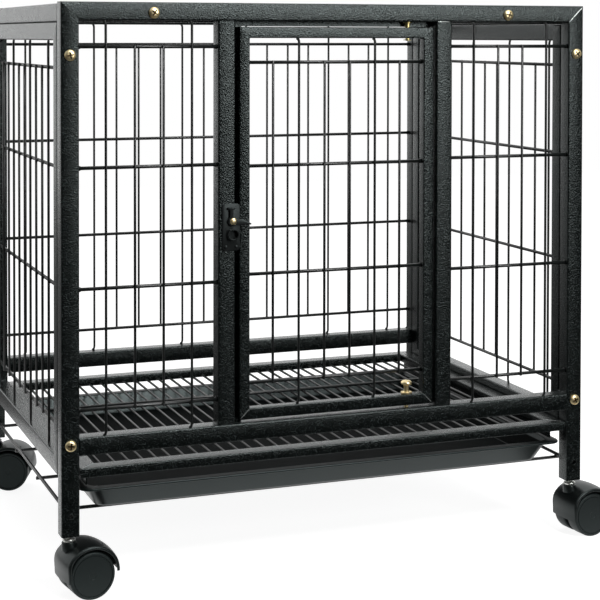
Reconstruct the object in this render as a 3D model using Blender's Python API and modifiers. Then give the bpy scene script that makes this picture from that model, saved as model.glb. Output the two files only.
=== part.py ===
"""Wire dog cage: five tube panels with welded wire, bolted together, with a pivoting door, a slide-out
floor grid, a slide-out tray on a wire rack, and four hooded twin-wheel casters.

Metres, +Z up. The front faces -Y. The cage is modelled with the front left corner of its frame above
the origin. Its root is then moved, so that the origin is under the middle of the whole object.
"""

import math

import bmesh
import bpy
from mathutils import Matrix, Vector

# Frame
CAGE_WIDTH = 0.6100
CAGE_DEPTH = 0.4443
TUBE = 0.01905
TUBE_CORNER = 0.0018
GAP = 0.0003

# Heights, and the clearances from one level up to the next
FRONT_FRAME_HEIGHT = 0.4671
TOP_FRAME_RECESS = 0.00155
RACK_CLEARANCE = 0.0052
TRAY_HEADROOM = 0.0137
GRID_HEADROOM = 0.0135

# Door and its opening
DOOR_OPENING_WIDTH = 0.2357
DOOR_TUBE = 0.0120
DOOR_CORNER = 0.0012
DOOR_LATCH_GAP = 0.0055
DOOR_HINGE_GAP = 0.0018
DOOR_TOP_GAP = 0.0062
DOOR_BOTTOM_GAP = 0.0025
HINGE_INSET = 0.0297

# Wire
BAR_WIRE = 0.0028
CROSS_WIRE = 0.0038
WELD_SINK = 0.0003
BAR_INSET = 0.0011
BAR_OVERHANG = 0.0050
WIRE_SIDES = 6
TOP_WIRE_SIDES = 4
RACK_SIDES = 8

FRONT_BARS = 4
FRONT_BAR_MARGIN = 0.0283
FRONT_CROSSES = 4
FRONT_CROSS_MARGIN = 0.0272
BACK_BARS = 18
BACK_BAR_MARGIN = 0.0301
SIDE_BARS = 10
SIDE_BAR_MARGIN = 0.0353
SIDE_CROSS_MARGIN = 0.0286
SIDE_UPPER_STEP = 0.1035
SIDE_MIDDLE_STEP = 0.1246
TOP_BARS = 18
TOP_BAR_MARGIN = 0.0301
TOP_CROSSES = 3
TOP_CROSS_MARGIN = 0.0300
DOOR_BARS = 6
DOOR_BAR_MARGIN = 0.0277
DOOR_BAR_INSET = 0.0031
DOOR_CROSS_MARGIN = 0.0260
DOOR_UPPER_STEP = 0.1110
DOOR_LOWER_STEP = 0.1170

# Machine screws
SCREW_SHANK = 0.0050
SCREW_LENGTH = 0.0300
SCREW_HEAD = 0.0120
SCREW_HEAD_HEIGHT = 0.0034
SCREW_RIM = 0.0010
SCREW_CROWN = 0.65
SCREW_CROWN_RISE = 0.9
SCREW_SIDES = 8
UPPER_SCREW_DROP = 0.0550
LOWER_SCREW_RISE = 0.0354
TOP_SCREW_INSET = 0.0980
HOLE_PLAY = 0.00035
HOLE_SIDES = 8

# Hinge pins of the door
PIN_SHANK = 0.0046
PIN_COLLAR = 0.0100
PIN_FLANGE = 0.0125
PIN_NECK = 0.0060
PIN_TIP = 0.0030
PIN_IN_RAIL = 0.0120
PIN_LIFT = 0.0085
PIN_FLANGE_HEIGHT = 0.0018
PIN_NECK_HEIGHT = 0.0082
PIN_KNOB = 0.0125
PIN_KNOB_HEIGHT = 0.0048
KNOB_CROWN = 0.72
KNOB_CROWN_DROP = 0.12
KNOB_SHOULDER_DROP = 0.45
KNOB_FOOT = 0.85
KNOB_FOOT_RISE = 0.2
PIN_SIDES = 10

# Latch
LATCH_DROP = 0.2311
LATCH_PIN_INSET = 0.0038
LATCH_PLATE_WIDTH = 0.0196
LATCH_PLATE_HEIGHT = 0.0500
LATCH_PLATE_RISE = 0.0185
LATCH_PLATE_OVERHANG = 0.0046
LATCH_PLATE_THICK = 0.0012
LATCH_PLATE_CORNER = 0.0035
LATCH_CORNER_STEPS = 3
RIVET_HEAD = 0.0044
RIVET_HEAD_HEIGHT = 0.0011
RIVET_INSET = 0.0040
RIVET_SIDES = 8
LATCH_PIN = 0.0050
LATCH_PIN_HEAD = 0.0074
LATCH_PIN_HEAD_HEIGHT = 0.0016
LATCH_PIN_DEPTH = 0.0080
LATCH_PIN_CROWN = 0.6
LATCH_PIN_SHOULDER = 0.4
HOOK_THICK = 0.0030
HOOK_BOSS = 0.0108
HOOK_BOSS_STEPS = 9
HOOK_TIP_INSET = 0.0010
HOOK_ARM_LOW = 0.0042
HOOK_ARM_HIGH = 0.0022
HOOK_TIP_HEIGHT = 0.0016
HOOK_BEAK = 0.0090
LEVER_WIDTH = 0.0036
LEVER_HEIGHT = 0.0150
LEVER_PAD_WIDTH = 0.0082
LEVER_PAD_HEIGHT = 0.0026
SPRING_WIRE = 0.0013
SPRING_RADIUS = 0.0054
SPRING_PITCH = 0.0019
SPRING_TURNS = 2.25
SPRING_DROP = 0.0142
SPRING_LEG = 0.0050
SPRING_POINTS_PER_TURN = 8

# Floor grid
GRID_TUBE_WIDTH = 0.0190
GRID_TUBE_HEIGHT = 0.0100
GRID_CORNER = 0.0012
GRID_SIDE_PLAY = 0.0010
GRID_SETBACK = 0.0015
GRID_REAR_PLAY = 0.0060
GRID_BARS = 34
GRID_BAR_MARGIN = 0.0119
GRID_BAR_DROP = 0.0006
GRID_CROSSES = 2
LEDGE_THICK = 0.0015
LEDGE_REACH = 0.0120
LEDGE_EDGE = 0.0040

# Tray
TRAY_SIDE_PLAY = 0.0025
TRAY_SETBACK = 0.0060
TRAY_REAR_PLAY = 0.0080
TRAY_HEIGHT = 0.0229
TRAY_LIP_WIDTH = 0.0100
TRAY_WALL = 0.0024
TRAY_DRAFT = 0.0115
TRAY_CORNER = 0.0120
TRAY_FLOOR_ROUND = 0.0030
TRAY_CORNER_STEPS = 3

# Tray rack
RACK_WIRE = 0.0038
RACK_HOLE_PLAY = 0.0008
RACK_RUNNERS = 4
RACK_FRONT_MARGIN = 0.0398
RACK_BACK_MARGIN = 0.0304
RACK_END_OVERHANG = 0.0030
RACK_END_INSET = 0.0030
LEG_PINHOLE = 0.0016
LEG_PINHOLE_RISE = 0.0130
LEG_PINHOLE_DEPTH = 0.0020

# Casters
WHEEL_DIAMETER = 0.0500
WHEEL_WIDTH = 0.0170
WHEEL_EDGE = 0.0016
WHEEL_BORE_DEPTH = 0.0122
WHEEL_PLAY = 0.0008
WHEEL_SIDES = 18
WEB_THICK = 0.0060
WEB_RADIUS = 0.0090
AXLE_DIAMETER = 0.0050
AXLE_END_PLAY = 0.0010
CASTER_TRAIL = 0.0185
HOOD_OVERHANG = 0.0016
HOOD_CLEARANCE = 0.0027
HOOD_BULGE = 0.0035
HOOD_WALL = 0.0018
HOOD_FRONT_ANGLE = 4.0
HOOD_REAR_ANGLE = 197.0
HOOD_BANDS = 4
HOOD_STEPS = 12
WEB_SHELL_INSET = 1.0
WEB_SWEEP = 40.0
WEB_LOW_STEPS = 5
BOSS_DIAMETER = 0.0150
BOSS_RISE = 0.0061
BOSS_CLEARANCE = 0.0019
STEM_DIAMETER = 0.0100
STEM_IN_LEG = 0.0160
STEM_NECK_HEIGHT = 0.0030
COLLAR_DIAMETER = 0.0135
COLLAR_HEIGHT = 0.0032
STEM_PIN = 0.0070
STEM_PIN_FLOOR = 0.0011
STEM_SIDES = 8
CASTER_TURNS = {"front_left": 8.0, "front_right": 6.0, "rear_left": -20.0, "rear_right": 20.0}

# Places of the caster's pieces, from the floor up
WHEEL_RADIUS = WHEEL_DIAMETER / 2
AXLE_HEIGHT = WHEEL_RADIUS * math.cos(math.pi / WHEEL_SIDES)
WHEEL_INNER_FACE = WEB_THICK / 2 + WHEEL_PLAY
WHEEL_OUTER_FACE = WHEEL_INNER_FACE + WHEEL_WIDTH
AXLE_LENGTH = 2 * (WHEEL_INNER_FACE + WHEEL_BORE_DEPTH - AXLE_END_PLAY)
HOOD_WIDTH = 2 * (WHEEL_OUTER_FACE + HOOD_OVERHANG)
HOOD_RIM = WHEEL_RADIUS + HOOD_CLEARANCE + HOOD_WALL
HOOD_CROWN = HOOD_RIM + HOOD_BULGE
BOSS_BOTTOM = AXLE_HEIGHT + math.sqrt((WHEEL_RADIUS + BOSS_CLEARANCE) ** 2 - (CASTER_TRAIL - BOSS_DIAMETER / 2) ** 2)
BOSS_TOP = AXLE_HEIGHT + math.sqrt(HOOD_CROWN**2 - CASTER_TRAIL**2) + BOSS_RISE
COLLAR_BOTTOM = BOSS_TOP + GAP
COLLAR_TOP = COLLAR_BOTTOM + COLLAR_HEIGHT
STEM_PIN_END = BOSS_BOTTOM + STEM_PIN_FLOOR
LEG_CLEARANCE = COLLAR_TOP + STEM_NECK_HEIGHT + GAP
STEM_TOP = LEG_CLEARANCE + STEM_IN_LEG

# Levels of the rack, the tray, the grid and the frames, from the legs up
RACK_HEIGHT = STEM_TOP + RACK_CLEARANCE
RACK_RUNNER_HEIGHT = RACK_HEIGHT - RACK_WIRE + WELD_SINK
TRAY_BOTTOM = RACK_RUNNER_HEIGHT + RACK_WIRE / 2 + GAP
TRAY_TOP = TRAY_BOTTOM + TRAY_HEIGHT + TRAY_WALL
SIDE_BOTTOM = TRAY_TOP + TRAY_HEADROOM
SILL_BOTTOM = SIDE_BOTTOM + GRID_TUBE_HEIGHT + GRID_HEADROOM
SILL_TOP = SILL_BOTTOM + TUBE
POST_TOP = SILL_BOTTOM + FRONT_FRAME_HEIGHT
RAIL_BOTTOM = POST_TOP - TUBE
TOP_FRAME_BOTTOM = RAIL_BOTTOM - TOP_FRAME_RECESS
SIDE_TOP = TOP_FRAME_BOTTOM - GAP

# Places across and along the cage
HALF_TUBE = TUBE / 2
RIGHT_POST = CAGE_WIDTH - TUBE
BACK_POST = CAGE_DEPTH - TUBE
INNER_FRONT = TUBE + GAP
INNER_BACK = BACK_POST - GAP
LEFT_STILE = (CAGE_WIDTH - DOOR_OPENING_WIDTH) / 2 - TUBE
LEFT_STILE_EDGE = LEFT_STILE + TUBE
RIGHT_STILE = CAGE_WIDTH - LEFT_STILE_EDGE

# Door, wire, screws and latch
DOOR_LEFT = LEFT_STILE_EDGE + DOOR_LATCH_GAP
DOOR_RIGHT = RIGHT_STILE - DOOR_HINGE_GAP
DOOR_BOTTOM = SILL_TOP + DOOR_BOTTOM_GAP
DOOR_TOP = RAIL_BOTTOM - DOOR_TOP_GAP
HINGE_X = DOOR_RIGHT - HINGE_INSET
BAR_DEPTH = BAR_INSET + BAR_WIRE / 2
WIRE_STEP = (BAR_WIRE + CROSS_WIRE) / 2 - WELD_SINK
UPPER_SCREW = POST_TOP - UPPER_SCREW_DROP
LOWER_SCREW = SIDE_BOTTOM + LOWER_SCREW_RISE
TOP_SCREW = TOP_FRAME_BOTTOM + HALF_TUBE
SCREW_HOLE_END = SCREW_LENGTH + GAP
LATCH_HEIGHT = POST_TOP - LATCH_DROP
LATCH_X = LEFT_STILE_EDGE - LATCH_PIN_INSET
HOOK_REACH = LATCH_PIN_INSET + DOOR_LATCH_GAP + DOOR_TUBE - HOOK_TIP_INSET

FLAT = (0.0, 0.0, 0.0)
FACING_FRONT = (math.radians(90), 0.0, 0.0)
FACING_SIDE = (math.radians(90), 0.0, math.radians(90))


def clear_scene():
    """Remove every object of the startup scene."""
    for obj in list(bpy.data.objects):
        bpy.data.objects.remove(obj, do_unlink=True)


def new_collection(name, hidden=False):
    """Make a collection in the scene. A hidden one holds cutters."""
    collection = bpy.data.collections.new(name)
    collection.hide_render = hidden
    bpy.context.scene.collection.children.link(collection)
    return collection


def make_material(name, colour, roughness, metallic):
    """Make a Principled material."""
    material = bpy.data.materials.new(name)
    material.use_nodes = True
    shader = material.node_tree.nodes["Principled BSDF"]
    shader.inputs["Base Color"].default_value = (*colour, 1.0)
    shader.inputs["Roughness"].default_value = roughness
    shader.inputs["Metallic"].default_value = metallic
    material.diffuse_color = (*colour, 1.0)
    return material


clear_scene()
CAGE = new_collection("wire_dog_cage")
CUTTERS = new_collection("cutters", hidden=True)
ROOT = bpy.data.objects.new("cage_origin", None)
CAGE.objects.link(ROOT)

POWDER_COAT = make_material("hammertone_coat", (0.022, 0.030, 0.028), 0.42, 0.40)
WIRE_COAT = make_material("wire_coat", (0.018, 0.022, 0.021), 0.45, 0.40)
BRASS = make_material("brass", (0.83, 0.66, 0.34), 0.25, 1.0)
ZINC = make_material("zinc_plate", (0.62, 0.63, 0.60), 0.32, 1.0)
TRAY_PLASTIC = make_material("tray_plastic", (0.046, 0.060, 0.060), 0.55, 0.0)
NYLON = make_material("caster_nylon", (0.016, 0.018, 0.018), 0.38, 0.0)


def add_part(name, mesh, material, parent=ROOT, location=(0, 0, 0), rotation=FLAT):
    """Put a mesh in the scene as a named piece under its parent."""
    obj = bpy.data.objects.new(name, mesh)
    if not mesh.materials:
        mesh.materials.append(material)
    obj.location = location
    obj.rotation_euler = rotation
    CAGE.objects.link(obj)
    obj.parent = parent
    return obj


def add_cutter(name, mesh, parent=ROOT, location=(0, 0, 0), rotation=FLAT):
    """Put a mesh among the cutters, out of the render."""
    obj = bpy.data.objects.new(name, mesh)
    obj.location = location
    obj.rotation_euler = rotation
    obj.hide_render = True
    obj.display_type = "WIRE"
    CUTTERS.objects.link(obj)
    obj.parent = parent
    return obj


def add_empty(name, location, parent=ROOT, turn=0.0):
    """Add an empty on a moving piece's axis, turned about Z by some degrees."""
    empty = bpy.data.objects.new(name, None)
    empty.location = location
    empty.rotation_euler = (0.0, 0.0, math.radians(turn))
    empty.empty_display_size = 0.02
    CAGE.objects.link(empty)
    empty.parent = parent
    return empty


def cleaned(mesh):
    """Merge the loose caps of a mesh and turn its faces outwards."""
    bm = bmesh.new()
    bm.from_mesh(mesh)
    bmesh.ops.remove_doubles(bm, verts=bm.verts, dist=1e-6)
    bmesh.ops.recalc_face_normals(bm, faces=bm.faces)
    bm.to_mesh(mesh)
    bm.free()
    return mesh


def smooth(mesh, angle=40.0):
    """Shade a round piece smooth, with its hard edges kept."""
    mesh.shade_smooth()
    mesh.set_sharp_from_angle(angle=math.radians(angle))
    return mesh


def evaluated_mesh(obj):
    """Take an object's mesh with its modifiers applied, and remove the object."""
    graph = bpy.context.evaluated_depsgraph_get()
    mesh = bpy.data.meshes.new_from_object(obj.evaluated_get(graph))
    bpy.data.objects.remove(obj)
    return cleaned(mesh)


def curve_mesh(curve):
    """Turn a curve into a closed mesh."""
    obj = bpy.data.objects.new(curve.name, curve)
    bpy.context.scene.collection.objects.link(obj)
    mesh = evaluated_mesh(obj)
    bpy.data.curves.remove(curve)
    return mesh


def add_boolean(obj, other, operation="DIFFERENCE"):
    """Cut or join a piece with another mesh."""
    modifier = obj.modifiers.new(f"{operation.lower()}_{other.name}", "BOOLEAN")
    modifier.operation = operation
    modifier.solver = "EXACT"
    modifier.object = other


def outline_mesh(name, outlines, thickness, corner=0.0):
    """Extrude flat outlines, the outside first and then the holes, with their edges rounded by corner."""
    curve = bpy.data.curves.new(name, "CURVE")
    curve.dimensions = "2D"
    curve.fill_mode = "BOTH"
    curve.extrude = thickness / 2 - corner
    curve.bevel_depth = corner
    curve.bevel_resolution = 1
    curve.offset = -corner
    for outline in outlines:
        spline = curve.splines.new("POLY")
        spline.points.add(len(outline) - 1)
        for point, (x, y) in zip(spline.points, outline):
            point.co = (x, y, 0.0, 1.0)
        spline.use_cyclic_u = True
    mesh = curve_mesh(curve)
    bm = bmesh.new()
    bm.from_mesh(mesh)
    caps = [face for face in bm.faces if abs(face.calc_center_median().z) > thickness / 2 - 1e-6]
    inner_edges = [edge for edge in bm.edges if all(face in caps for face in edge.link_faces)]
    bmesh.ops.beautify_fill(bm, faces=caps, edges=inner_edges)
    bmesh.ops.recalc_face_normals(bm, faces=bm.faces)
    bm.to_mesh(mesh)
    bm.free()
    return mesh


def rectangle(left, low, right, high):
    """Corners of a rectangle."""
    return [(left, low), (right, low), (right, high), (left, high)]


def arc(centre, radius, start, end, steps):
    """Points along an arc, by its angles in degrees."""
    angles = [math.radians(start + (end - start) * step / steps) for step in range(steps + 1)]
    return [(centre[0] + radius * math.cos(a), centre[1] + radius * math.sin(a)) for a in angles]


def rounded_rectangle(left, low, right, high, radius, steps):
    """Outline of a rectangle with round corners."""
    return (
        arc((right - radius, low + radius), radius, -90, 0, steps)
        + arc((right - radius, high - radius), radius, 0, 90, steps)
        + arc((left + radius, high - radius), radius, 90, 180, steps)
        + arc((left + radius, low + radius), radius, 180, 270, steps)
    )


def wire_solid(name, runs, diameter, sides, tilt=0.0):
    """Make wires as one curve with a spline for each run of points, and turn it into a mesh."""
    curve = bpy.data.curves.new(name, "CURVE")
    curve.dimensions = "3D"
    curve.bevel_depth = diameter / 2
    curve.bevel_resolution = (sides - 4) // 2
    curve.use_fill_caps = True
    for run in runs:
        spline = curve.splines.new("POLY")
        spline.points.add(len(run) - 1)
        for point, place in zip(spline.points, run):
            point.co = (*place, 1.0)
            point.tilt = math.radians(tilt)
    return smooth(curve_mesh(curve))


def round_bar(bm, start, end, diameter, sides):
    """Add a round bar between two points to a bmesh."""
    start, end = Vector(start), Vector(end)
    run = end - start
    bar = bmesh.ops.create_cone(
        bm, cap_ends=True, segments=sides, radius1=diameter / 2, radius2=diameter / 2, depth=run.length
    )
    turn = run.to_track_quat("Z", "Y").to_matrix().to_4x4()
    bmesh.ops.transform(bm, matrix=Matrix.Translation((start + end) / 2) @ turn, verts=bar["verts"])


def drill(obj, holes, parent=ROOT):
    """Cut round holes, given as (start, end, diameter), with one cutter."""
    bm = bmesh.new()
    for start, end, diameter in holes:
        round_bar(bm, start, end, diameter, HOLE_SIDES)
    mesh = bpy.data.meshes.new(f"{obj.name}_holes")
    bm.to_mesh(mesh)
    bm.free()
    add_boolean(obj, add_cutter(f"{obj.name}_holes", mesh, parent))


def turned_mesh(name, profile, sides, degrees=360.0):
    """Turn a profile of (radius, height) points about Z. The profile runs down the outer side."""
    mesh = bpy.data.meshes.new(name)
    points = [(radius, 0.0, height) for radius, height in profile]
    mesh.from_pydata(points, [(i, i + 1) for i in range(len(points) - 1)], [])
    obj = bpy.data.objects.new(name, mesh)
    bpy.context.scene.collection.objects.link(obj)
    turn = obj.modifiers.new("turn", "SCREW")
    turn.angle = math.radians(degrees)
    turn.steps = sides
    turn.render_steps = sides
    turn.use_merge_vertices = degrees == 360.0
    turn.merge_threshold = 0.00002
    return obj


def turned_solid(name, profile, sides):
    """Make a closed turned mesh, shaded smooth."""
    return smooth(evaluated_mesh(turned_mesh(name, profile, sides)), 30.0)


def spaced(first, last, count):
    """Even places from the first to the last."""
    return [first + (last - first) * index / (count - 1) for index in range(count)]


def reaches_frame(index, count):
    """Say whether a bar is one of every third that is long enough to be welded to the tubes."""
    return index % 3 == (1 if count % 3 == 0 else 0)


def panel_point(facing, across, up, depth, outer_face, inward):
    """A point of a panel from its place across and up the panel, and its depth behind the outer face."""
    behind = outer_face + inward * depth
    if facing == "y":
        return (across, behind, up)
    if facing == "x":
        return (behind, across, up)
    return (across, up, behind)


def welded_wire(name, facing, bar_places, cross_places, span, rise, outer_face, inward,
                bar_depth=BAR_DEPTH, sides=WIRE_SIDES, parent=ROOT):
    """Weld bars that run up a panel to cross wires behind them. Span and rise are the frame's inner edges."""
    low, high = rise[0] + GAP, rise[1] - GAP
    first, last = min(cross_places), max(cross_places)
    bars = []
    for index, across in enumerate(bar_places):
        if reaches_frame(index, len(bar_places)):
            ends = [low, high]
        else:
            ends = [first - BAR_OVERHANG, last + BAR_OVERHANG]
        bars.append([panel_point(facing, across, up, bar_depth, outer_face, inward) for up in ends])
    left, right = span[0] + GAP, span[1] - GAP
    cross_depth = bar_depth + WIRE_STEP
    crosses = [
        [panel_point(facing, across, up, cross_depth, outer_face, inward) for across in (left, right)]
        for up in cross_places
    ]
    corner_turn = 90.0 if sides == WIRE_SIDES else 0.0
    bar_tilt = 0.0 if facing == "x" else corner_turn
    cross_tilt = corner_turn if facing == "z" else 0.0
    mesh = wire_solid(name, bars, BAR_WIRE, sides, bar_tilt)
    obj = add_part(name, mesh, WIRE_COAT, parent)
    cross_mesh = wire_solid(f"{name}_crosses", crosses, CROSS_WIRE, sides, cross_tilt)
    add_boolean(obj, add_cutter(f"{name}_crosses", cross_mesh, parent), "UNION")
    return obj


def tube_frame(name, outlines, rotation, location, thickness=TUBE, corner=TUBE_CORNER, parent=ROOT):
    """Make a welded tube frame from the outlines of its tubes."""
    return add_part(name, outline_mesh(name, outlines, thickness, corner), POWDER_COAT, parent, location, rotation)


def corner_places():
    """The middle of each of the four legs, by name."""
    return {
        "front_left": (HALF_TUBE, HALF_TUBE),
        "front_right": (CAGE_WIDTH - HALF_TUBE, HALF_TUBE),
        "rear_left": (HALF_TUBE, CAGE_DEPTH - HALF_TUBE),
        "rear_right": (CAGE_WIDTH - HALF_TUBE, CAGE_DEPTH - HALF_TUBE),
    }


def legged_outline():
    """Outside of the front or back frame: two posts that run on below the sill as legs."""
    return [
        (0.0, LEG_CLEARANCE),
        (TUBE, LEG_CLEARANCE),
        (TUBE, SILL_BOTTOM),
        (RIGHT_POST, SILL_BOTTOM),
        (RIGHT_POST, LEG_CLEARANCE),
        (CAGE_WIDTH, LEG_CLEARANCE),
        (CAGE_WIDTH, POST_TOP),
        (0.0, POST_TOP),
    ]


def screw_places():
    """Each screw of one end frame, by name: its place across and its height."""
    return {
        "upper_left": (HALF_TUBE, UPPER_SCREW),
        "upper_right": (CAGE_WIDTH - HALF_TUBE, UPPER_SCREW),
        "lower_left": (HALF_TUBE, LOWER_SCREW),
        "lower_right": (CAGE_WIDTH - HALF_TUBE, LOWER_SCREW),
        "top_left": (TOP_SCREW_INSET, TOP_SCREW),
        "top_right": (CAGE_WIDTH - TOP_SCREW_INSET, TOP_SCREW),
    }


def screw_holes(places, front=True, back=True):
    """Clearance holes for the screws of the front and back frames."""
    diameter = SCREW_SHANK + 2 * HOLE_PLAY
    holes = []
    for across, height in places:
        if front:
            holes.append(((across, -GAP, height), (across, SCREW_HOLE_END, height), diameter))
        if back:
            start = (across, CAGE_DEPTH + GAP, height)
            holes.append((start, (across, CAGE_DEPTH - SCREW_HOLE_END, height), diameter))
    return holes


def leg_holes(front):
    """Holes in the legs of an end frame, for the rack's ends and the caster stems."""
    holes = []
    for name, (x, y) in corner_places().items():
        if name.startswith("front") != front:
            continue
        low = (x, y - TUBE, RACK_HEIGHT)
        holes.append((low, (x, y + TUBE, RACK_HEIGHT), RACK_WIRE + 2 * RACK_HOLE_PLAY))
        stem_hole = ((x, y, LEG_CLEARANCE - GAP), (x, y, STEM_TOP + GAP), STEM_DIAMETER + 2 * HOLE_PLAY)
        holes.append(stem_hole)
        if front:
            height = RACK_HEIGHT + LEG_PINHOLE_RISE
            holes.append(((x, -GAP, height), (x, LEG_PINHOLE_DEPTH, height), LEG_PINHOLE))
    return holes


def front_panel():
    """Front frame with its door opening and stiles, and the wire each side of the door."""
    holes = [
        rectangle(TUBE, SILL_TOP, LEFT_STILE, RAIL_BOTTOM),
        rectangle(LEFT_STILE_EDGE, SILL_TOP, RIGHT_STILE, RAIL_BOTTOM),
        rectangle(RIGHT_STILE + TUBE, SILL_TOP, RIGHT_POST, RAIL_BOTTOM),
    ]
    frame = tube_frame("front_frame", [legged_outline(), *holes], FACING_FRONT, (0, HALF_TUBE, 0))
    pin_hole = PIN_SHANK + 2 * HOLE_PLAY
    pins = [
        ((HINGE_X, HALF_TUBE, RAIL_BOTTOM - GAP), (HINGE_X, HALF_TUBE, RAIL_BOTTOM + PIN_IN_RAIL + GAP), pin_hole),
        ((HINGE_X, HALF_TUBE, SILL_TOP + GAP), (HINGE_X, HALF_TUBE, SILL_TOP - lower_pin_depth() - GAP), pin_hole),
    ]
    latch = ((LATCH_X, -GAP, LATCH_HEIGHT), (LATCH_X, LATCH_PIN_DEPTH + GAP, LATCH_HEIGHT), LATCH_PIN + 2 * HOLE_PLAY)
    drill(frame, screw_holes(screw_places().values(), back=False) + leg_holes(True) + pins + [latch])
    crosses = spaced(SILL_TOP + FRONT_CROSS_MARGIN, RAIL_BOTTOM - FRONT_CROSS_MARGIN, FRONT_CROSSES)
    for name, left, right in (
        ("front_left_mesh", TUBE, LEFT_STILE),
        ("front_right_mesh", RIGHT_STILE + TUBE, RIGHT_POST),
    ):
        bars = spaced(left + FRONT_BAR_MARGIN, right - FRONT_BAR_MARGIN, FRONT_BARS)
        welded_wire(name, "y", bars, crosses, (left, right), (SILL_TOP, RAIL_BOTTOM), 0.0, 1)


def back_panel():
    """Back frame, one opening wide, and its wire."""
    hole = rectangle(TUBE, SILL_TOP, RIGHT_POST, RAIL_BOTTOM)
    frame = tube_frame("back_frame", [legged_outline(), hole], FACING_FRONT, (0, CAGE_DEPTH - HALF_TUBE, 0))
    drill(frame, screw_holes(screw_places().values(), front=False) + leg_holes(False))
    crosses = spaced(SILL_TOP + FRONT_CROSS_MARGIN, RAIL_BOTTOM - FRONT_CROSS_MARGIN, FRONT_CROSSES)
    bars = spaced(TUBE + BACK_BAR_MARGIN, RIGHT_POST - BACK_BAR_MARGIN, BACK_BARS)
    span, rise = (TUBE, RIGHT_POST), (SILL_TOP, RAIL_BOTTOM)
    welded_wire("back_mesh", "y", bars, crosses, span, rise, CAGE_DEPTH, -1)


def side_panels():
    """The two side frames, bolted between the posts, and their wire."""
    low, high = SIDE_BOTTOM + TUBE, SIDE_TOP - TUBE
    front, back = INNER_FRONT + TUBE, INNER_BACK - TUBE
    outlines = [rectangle(INNER_FRONT, SIDE_BOTTOM, INNER_BACK, SIDE_TOP), rectangle(front, low, back, high)]
    upper = high - SIDE_CROSS_MARGIN
    crosses = [upper, upper - SIDE_UPPER_STEP, upper - SIDE_UPPER_STEP - SIDE_MIDDLE_STEP, low + SIDE_CROSS_MARGIN]
    bars = spaced(front + SIDE_BAR_MARGIN, back - SIDE_BAR_MARGIN, SIDE_BARS)
    for side, middle, face, inward in (
        ("left", HALF_TUBE, 0.0, 1),
        ("right", CAGE_WIDTH - HALF_TUBE, CAGE_WIDTH, -1),
    ):
        frame = tube_frame(f"{side}_frame", outlines, FACING_SIDE, (middle, 0, 0))
        drill(frame, screw_holes([(middle, UPPER_SCREW), (middle, LOWER_SCREW)]))
        welded_wire(f"{side}_mesh", "x", bars, crosses, (front, back), (low, high), face, inward)


def top_panel():
    """Top frame, between the end frames on the side frames, and its wire."""
    outlines = [
        rectangle(0.0, INNER_FRONT, CAGE_WIDTH, INNER_BACK),
        rectangle(TUBE, INNER_FRONT + TUBE, RIGHT_POST, INNER_BACK - TUBE),
    ]
    frame = tube_frame("top_frame", outlines, FLAT, (0, 0, TOP_SCREW))
    drill(frame, screw_holes([(TOP_SCREW_INSET, TOP_SCREW), (CAGE_WIDTH - TOP_SCREW_INSET, TOP_SCREW)]))
    front, back = INNER_FRONT + TUBE, INNER_BACK - TUBE
    crosses = spaced(front + TOP_CROSS_MARGIN, back - TOP_CROSS_MARGIN, TOP_CROSSES)
    bars = spaced(TUBE + TOP_BAR_MARGIN, RIGHT_POST - TOP_BAR_MARGIN, TOP_BARS)
    top = TOP_FRAME_BOTTOM + TUBE
    welded_wire("top_mesh", "z", bars, crosses, (TUBE, RIGHT_POST), (front, back), top, -1, sides=TOP_WIRE_SIDES)


def pan_head_screw():
    """Mesh of one screw, with its head above Z = 0 and its shank below."""
    head, shank = SCREW_HEAD / 2, SCREW_SHANK / 2
    profile = [
        (0.0, SCREW_HEAD_HEIGHT),
        (head * SCREW_CROWN, SCREW_HEAD_HEIGHT * SCREW_CROWN_RISE),
        (head, SCREW_RIM),
        (head, 0.0),
        (shank, 0.0),
        (shank, -SCREW_LENGTH),
        (0.0, -SCREW_LENGTH),
    ]
    return turned_solid("pan_head_screw", profile, SCREW_SIDES)


def screws():
    """Twelve screws: six from the front and six from the back."""
    mesh = pan_head_screw()
    for end, y, turn in (("front", -GAP, 90.0), ("back", CAGE_DEPTH + GAP, -90.0)):
        for name, (x, z) in screw_places().items():
            add_part(f"screw_{end}_{name}", mesh, BRASS, ROOT, (x, y, z), (math.radians(turn), 0, 0))


def lower_pin_depth():
    """How far the lower hinge pin reaches into the sill: less than its lift, so that lifting frees the door."""
    return PIN_LIFT - DOOR_BOTTOM_GAP + GAP


def door():
    """The door on its hinge axis: tube frame, wire, and the pin that lifts out."""
    axis = add_empty("door_axis", (HINGE_X, HALF_TUBE, 0))
    left, right = DOOR_LEFT - HINGE_X, DOOR_RIGHT - HINGE_X
    inner_left, inner_right = left + DOOR_TUBE, right - DOOR_TUBE
    low, high = DOOR_BOTTOM + DOOR_TUBE, DOOR_TOP - DOOR_TUBE
    outlines = [rectangle(left, DOOR_BOTTOM, right, DOOR_TOP), rectangle(inner_left, low, inner_right, high)]
    frame = tube_frame("door_frame", outlines, FACING_FRONT, (0, 0, 0), DOOR_TUBE, DOOR_CORNER, axis)
    pin_hole = PIN_SHANK + 2 * HOLE_PLAY
    upper = ((0, 0, high - GAP), (0, 0, DOOR_TOP + GAP), pin_hole)
    lower = ((0, 0, DOOR_BOTTOM - GAP), (0, 0, low + GAP), pin_hole)
    drill(frame, [upper, lower], axis)
    top = high - DOOR_CROSS_MARGIN
    bottom = low + DOOR_CROSS_MARGIN
    crosses = [top, top - DOOR_UPPER_STEP, bottom + DOOR_LOWER_STEP, bottom]
    bars = spaced(inner_left + DOOR_BAR_MARGIN, inner_right - DOOR_BAR_MARGIN, DOOR_BARS)
    span, rise = (inner_left, inner_right), (low, high)
    depth = DOOR_BAR_INSET + BAR_WIRE / 2
    welded_wire("door_mesh", "y", bars, crosses, span, rise, -DOOR_TUBE / 2, 1, depth, WIRE_SIDES, axis)


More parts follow.
